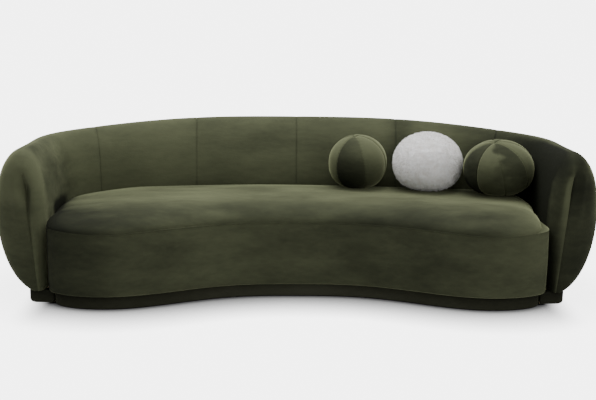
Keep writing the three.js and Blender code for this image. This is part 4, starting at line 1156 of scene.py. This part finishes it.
# %% [markdown]
# ## Velvet
# The velvet is a dense cut pile, most likely polyester on a woven back. Seen straight on it swallows
# light and is dark; seen along the surface the ends of the fibres catch it and it turns pale, which
# is what sheen gives. Brushed one way it is lighter than the other. So the colour follows the nap
# number, which also carries painted light and shade, soft clouds where hands have brushed it and
# small marks, and the pile is a fine bump. The sheen follows the same tone, so painted shade dims it
# too. A photographed cloth could be wrapped round the sofa, but it would repeat and stretch; noise on
# the object's own coordinates does neither.

# %% The velvets
unbrushed_tone = 0.305


def velvet(name, dark, middle, light, sheen, tint):
    """Tone = 0.305 + 0.5 (nap + clouds + marks + pile + rub); colour = ramp(tone). The clouds are 180 mm,
    the marks 30 mm and the pile 2.4 mm, drawn coarse, since the real one is 0.3 mm."""
    material, tree = empty_material(name)
    place = node(tree, "TexCoord").outputs["Object"]
    drawn = node(tree, "Mapping", [(place, "Vector")], in_Scale=(0.6, 1.0, 1.7))
    clouds, marks, pile = (
        node(tree, "TexNoise", [(spot, "Vector")], in_Scale=scale, in_Detail=detail, in_Roughness=rough)
        for spot, scale, detail, rough in (
            (drawn, 5.5, 4.0, 0.55), (drawn, 34.0, 3.0, 0.6), (place, 420.0, 2.0, 0.7),
        )
    )
    nap_and_shade, rub = (node(tree, "Attribute", attribute_name=key).outputs["Fac"] for key in ("nap_and_shade", "rub"))
    total = None
    for source, amount in ((clouds, 1.1), (marks, 0.5), (pile, 0.28), (nap_and_shade, 1.0), (rub, 0.15)):
        links = [(source, 0), (total, 2)] if total else [(source, 0)]
        total = node(tree, "Math", links, operation="MULTIPLY_ADD", in_1=amount, in_2=-0.55)
    tone = node(tree, "Math", [(total, 0)], operation="MULTIPLY_ADD", in_1=0.5, in_2=unbrushed_tone)
    ramp = node(tree, "ValToRGB", [(tone, 0)])
    ramp.color_ramp.interpolation = "B_SPLINE"
    stops = ramp.color_ramp.elements
    stops[0].color, stops[1].color = linear(dark), linear(light)
    stops.new(0.5).color = linear(middle)
    rough = node(tree, "Math", [(marks, 0)], operation="MULTIPLY_ADD", in_1=0.2, in_2=0.76)
    # The sheen follows the tone, so painted light and shade in the nap number brighten or dim it too.
    sheen_with_painted_shade = node(tree, "Math", [(tone, 0)], operation="MULTIPLY", in_1=sheen / unbrushed_tone, use_clamp=True)
    bump = node(tree, "Bump", [(pile, "Height")], in_Strength=0.35, in_Distance=0.0012)
    folds = node(tree, "Bump", [(marks, "Height"), (bump, "Normal")], in_Strength=0.25, in_Distance=0.004)
    shader = node(
        tree, "BsdfPrincipled",
        [(ramp, "Base Color"), (rough, "Roughness"), (folds, "Normal"), (sheen_with_painted_shade, "Sheen Weight")],
        in_Sheen_Roughness=0.38, in_Sheen_Tint=linear(tint), in_Specular_IOR_Level=0.12,
    )
    node(tree, "OutputMaterial", [(shader, "Surface")])
    return material


olive_velvet = velvet("olive polyester velvet", "#14160f", "#323526", "#5b5f47", 0.35, "#b6bc92")
# The plinths' velvet is the same cloth in darker colours: painted shade under the covers.
plinth_velvet = velvet("olive velvet of the plinths in painted shade", "#15160f", "#2e2f23", "#45463a", 0.3, "#9a9b7a")
print("velvets:", olive_velvet.name, "and", plinth_velvet.name)

# %% [markdown]
# ## Short fur
# The white ball is in a short curly acrylic fur. Each hair is a thin blade of three triangles that
# leans with its neighbours in clumps, and the skin below has the same colour, so no gap shows.

# %% Fur
def fur_material():
    """Colour = ramp(clumps of 18 mm + half of nap), with full sheen for the soft pale rim of fur."""
    material, tree = empty_material("short acrylic fur")
    place = node(tree, "TexCoord").outputs["Object"]
    clumps = node(tree, "TexNoise", [(place, "Vector")], in_Scale=55.0, in_Detail=3.0)
    nap_and_shade = node(tree, "Attribute", attribute_name="nap_and_shade").outputs["Fac"]
    tone = node(tree, "Math", [(nap_and_shade, 0), (clumps, 2)], operation="MULTIPLY_ADD", in_1=0.5)
    ramp = node(tree, "ValToRGB", [(tone, 0)])
    stops = ramp.color_ramp.elements
    stops[0].color, stops[1].color = linear("#eeebe7"), linear("#ffffff")
    stops[0].position, stops[1].position = 0.2, 0.8
    bump = node(tree, "Bump", [(clumps, "Height")], in_Strength=0.5, in_Distance=0.003)
    shader = node(
        tree, "BsdfPrincipled", [(ramp, "Base Color"), (bump, "Normal")],
        in_Roughness=0.9, in_Sheen_Weight=1.0, in_Sheen_Roughness=0.5, in_Specular_IOR_Level=0.2,
    )
    node(tree, "OutputMaterial", [(shader, "Surface")])
    return material


# %% [markdown]
# ## Inside and underneath
# These are seen from below or when a cover is off. Each gets what the real stuff shows: plywood has long
# grain on its faces and thin plies on its cut edges, webbing and cambric a weave, foam its cells, and the
# fill its tangle of fibres.

# %% The materials of the frame and the padding
def stuff(
    name, dark, light, pattern, size_mm, rough, bump_mm, stretch=(1.0, 1.0, 1.0), metal=0.0, **settings
):
    """One pattern of the given size, stretched along the axes, and a soft wear of 60 mm, give the colour
    between dark and light, a roughness of rough to rough + 0.15 and a bump of bump_mm."""
    material, tree = empty_material(name)
    place = node(tree, "TexCoord").outputs["Object"]
    drawn = node(tree, "Mapping", [(place, "Vector")], in_Scale=stretch)
    fine = node(tree, pattern, [(drawn, "Vector")], in_Scale=1000 / size_mm, **settings)
    value = fine.outputs[1 if pattern == wave else 0]
    wear = node(tree, "TexNoise", [(place, "Vector")], in_Scale=1000 / 60, in_Detail=4.0)
    tone = node(tree, "Math", [(value, 0), (wear, 2)], operation="MULTIPLY_ADD", in_1=0.6)
    ramp = node(tree, "ValToRGB", [(tone, 0)])
    stops = ramp.color_ramp.elements
    stops[0].color, stops[1].color = linear(dark), linear(light)
    stops[0].position, stops[1].position = 0.25, 1.0
    roughness = node(tree, "Math", [(wear, 0)], operation="MULTIPLY_ADD", in_1=0.15, in_2=rough)
    bump = node(tree, "Bump", [(value, "Height")], in_Strength=0.6, in_Distance=bump_mm / 1000)
    shader = node(
        tree, "BsdfPrincipled", [(ramp, "Base Color"), (roughness, "Roughness"), (bump, "Normal")],
        in_Metallic=metal,
    )
    node(tree, "OutputMaterial", [(shader, "Surface")])
    return material


noise, wave, cells = "TexNoise", "TexWave", "TexVoronoi"
finishes = {
    "velvet": olive_velvet,
    "plinth_velvet": plinth_velvet,
    "ball_velvet": olive_velvet,
    "short_fur": fur_material(),
    # Rotary-cut birch: long pale streaks, and plies 1.4 mm thick that show as lines across an upright edge.
    "plywood": stuff(
        "birch plywood", "#b08d5c", "#e0c79b", wave, 17.6, 0.55, 0.15, (0.15, 0.15, 1.0),
        bands_direction="Z", in_Distortion=1.2, in_Detail=3.0,
    ),
    # Woven jute and elastic strap: ribs every 3 mm.
    "webbing": stuff(
        "woven elastic webbing", "#4d3d27", "#8b7450", wave, 38, 0.8, 0.4,
        bands_direction="DIAGONAL", in_Distortion=0.6,
    ),
    # Spunbonded polypropylene: matt black with a fine embossed point pattern, drawn at 3 mm.
    "cambric": stuff("spunbonded cambric", "#0d0d0d", "#242424", cells, 3, 0.85, 0.2),
    # Cut polyurethane foam: open cells of about 1 mm, drawn at 3 mm, and a slight yellowing.
    "foam": stuff("cut polyurethane foam", "#cdbf95", "#ece3c4", cells, 3, 0.85, 0.6),
    # Hollow polyester fibre: a white tangle.
    "fibre_fill": stuff(
        "polyester fibre fill", "#cfcfca", "#f2f2ee", noise, 6, 0.9, 2.0, (1.0, 1.0, 0.5),
        in_Detail=6.0, in_Roughness=0.75,
    ),
    # Moulded polypropylene: dark grey with a faint spark-eroded grain.
    "glide_plastic": stuff(
        "moulded polypropylene", "#161616", "#2c2c2c", noise, 1.2, 0.4, 0.08, in_Detail=3.0
    ),
    # Nylon coil zip: ribs across the tape every 1.5 mm.
    "zip_plastic": stuff("nylon coil zip", "#1f2116", "#3b3e2b", wave, 9.4, 0.45, 0.3, bands_direction="X"),
    # Bright zinc plating on turned steel: fine rings round the shank.
    "bolt_steel": stuff(
        "zinc-plated steel", "#8e9094", "#c3c6ca", wave, 6.3, 0.28, 0.05, metal=1.0, bands_direction="Y"
    ),
}
slot_of = {part["node"]: part["material_slot"] for part in frame["record"]["subparts"]}
for name, solid in frame["nodes"].items():
    for holder in solid.material_slots:
        holder.material = finishes[slot_of[name]]
for piece, slot in pieces:
    piece.data.materials.append(finishes[slot])
print("finishes:", sorted(finishes))
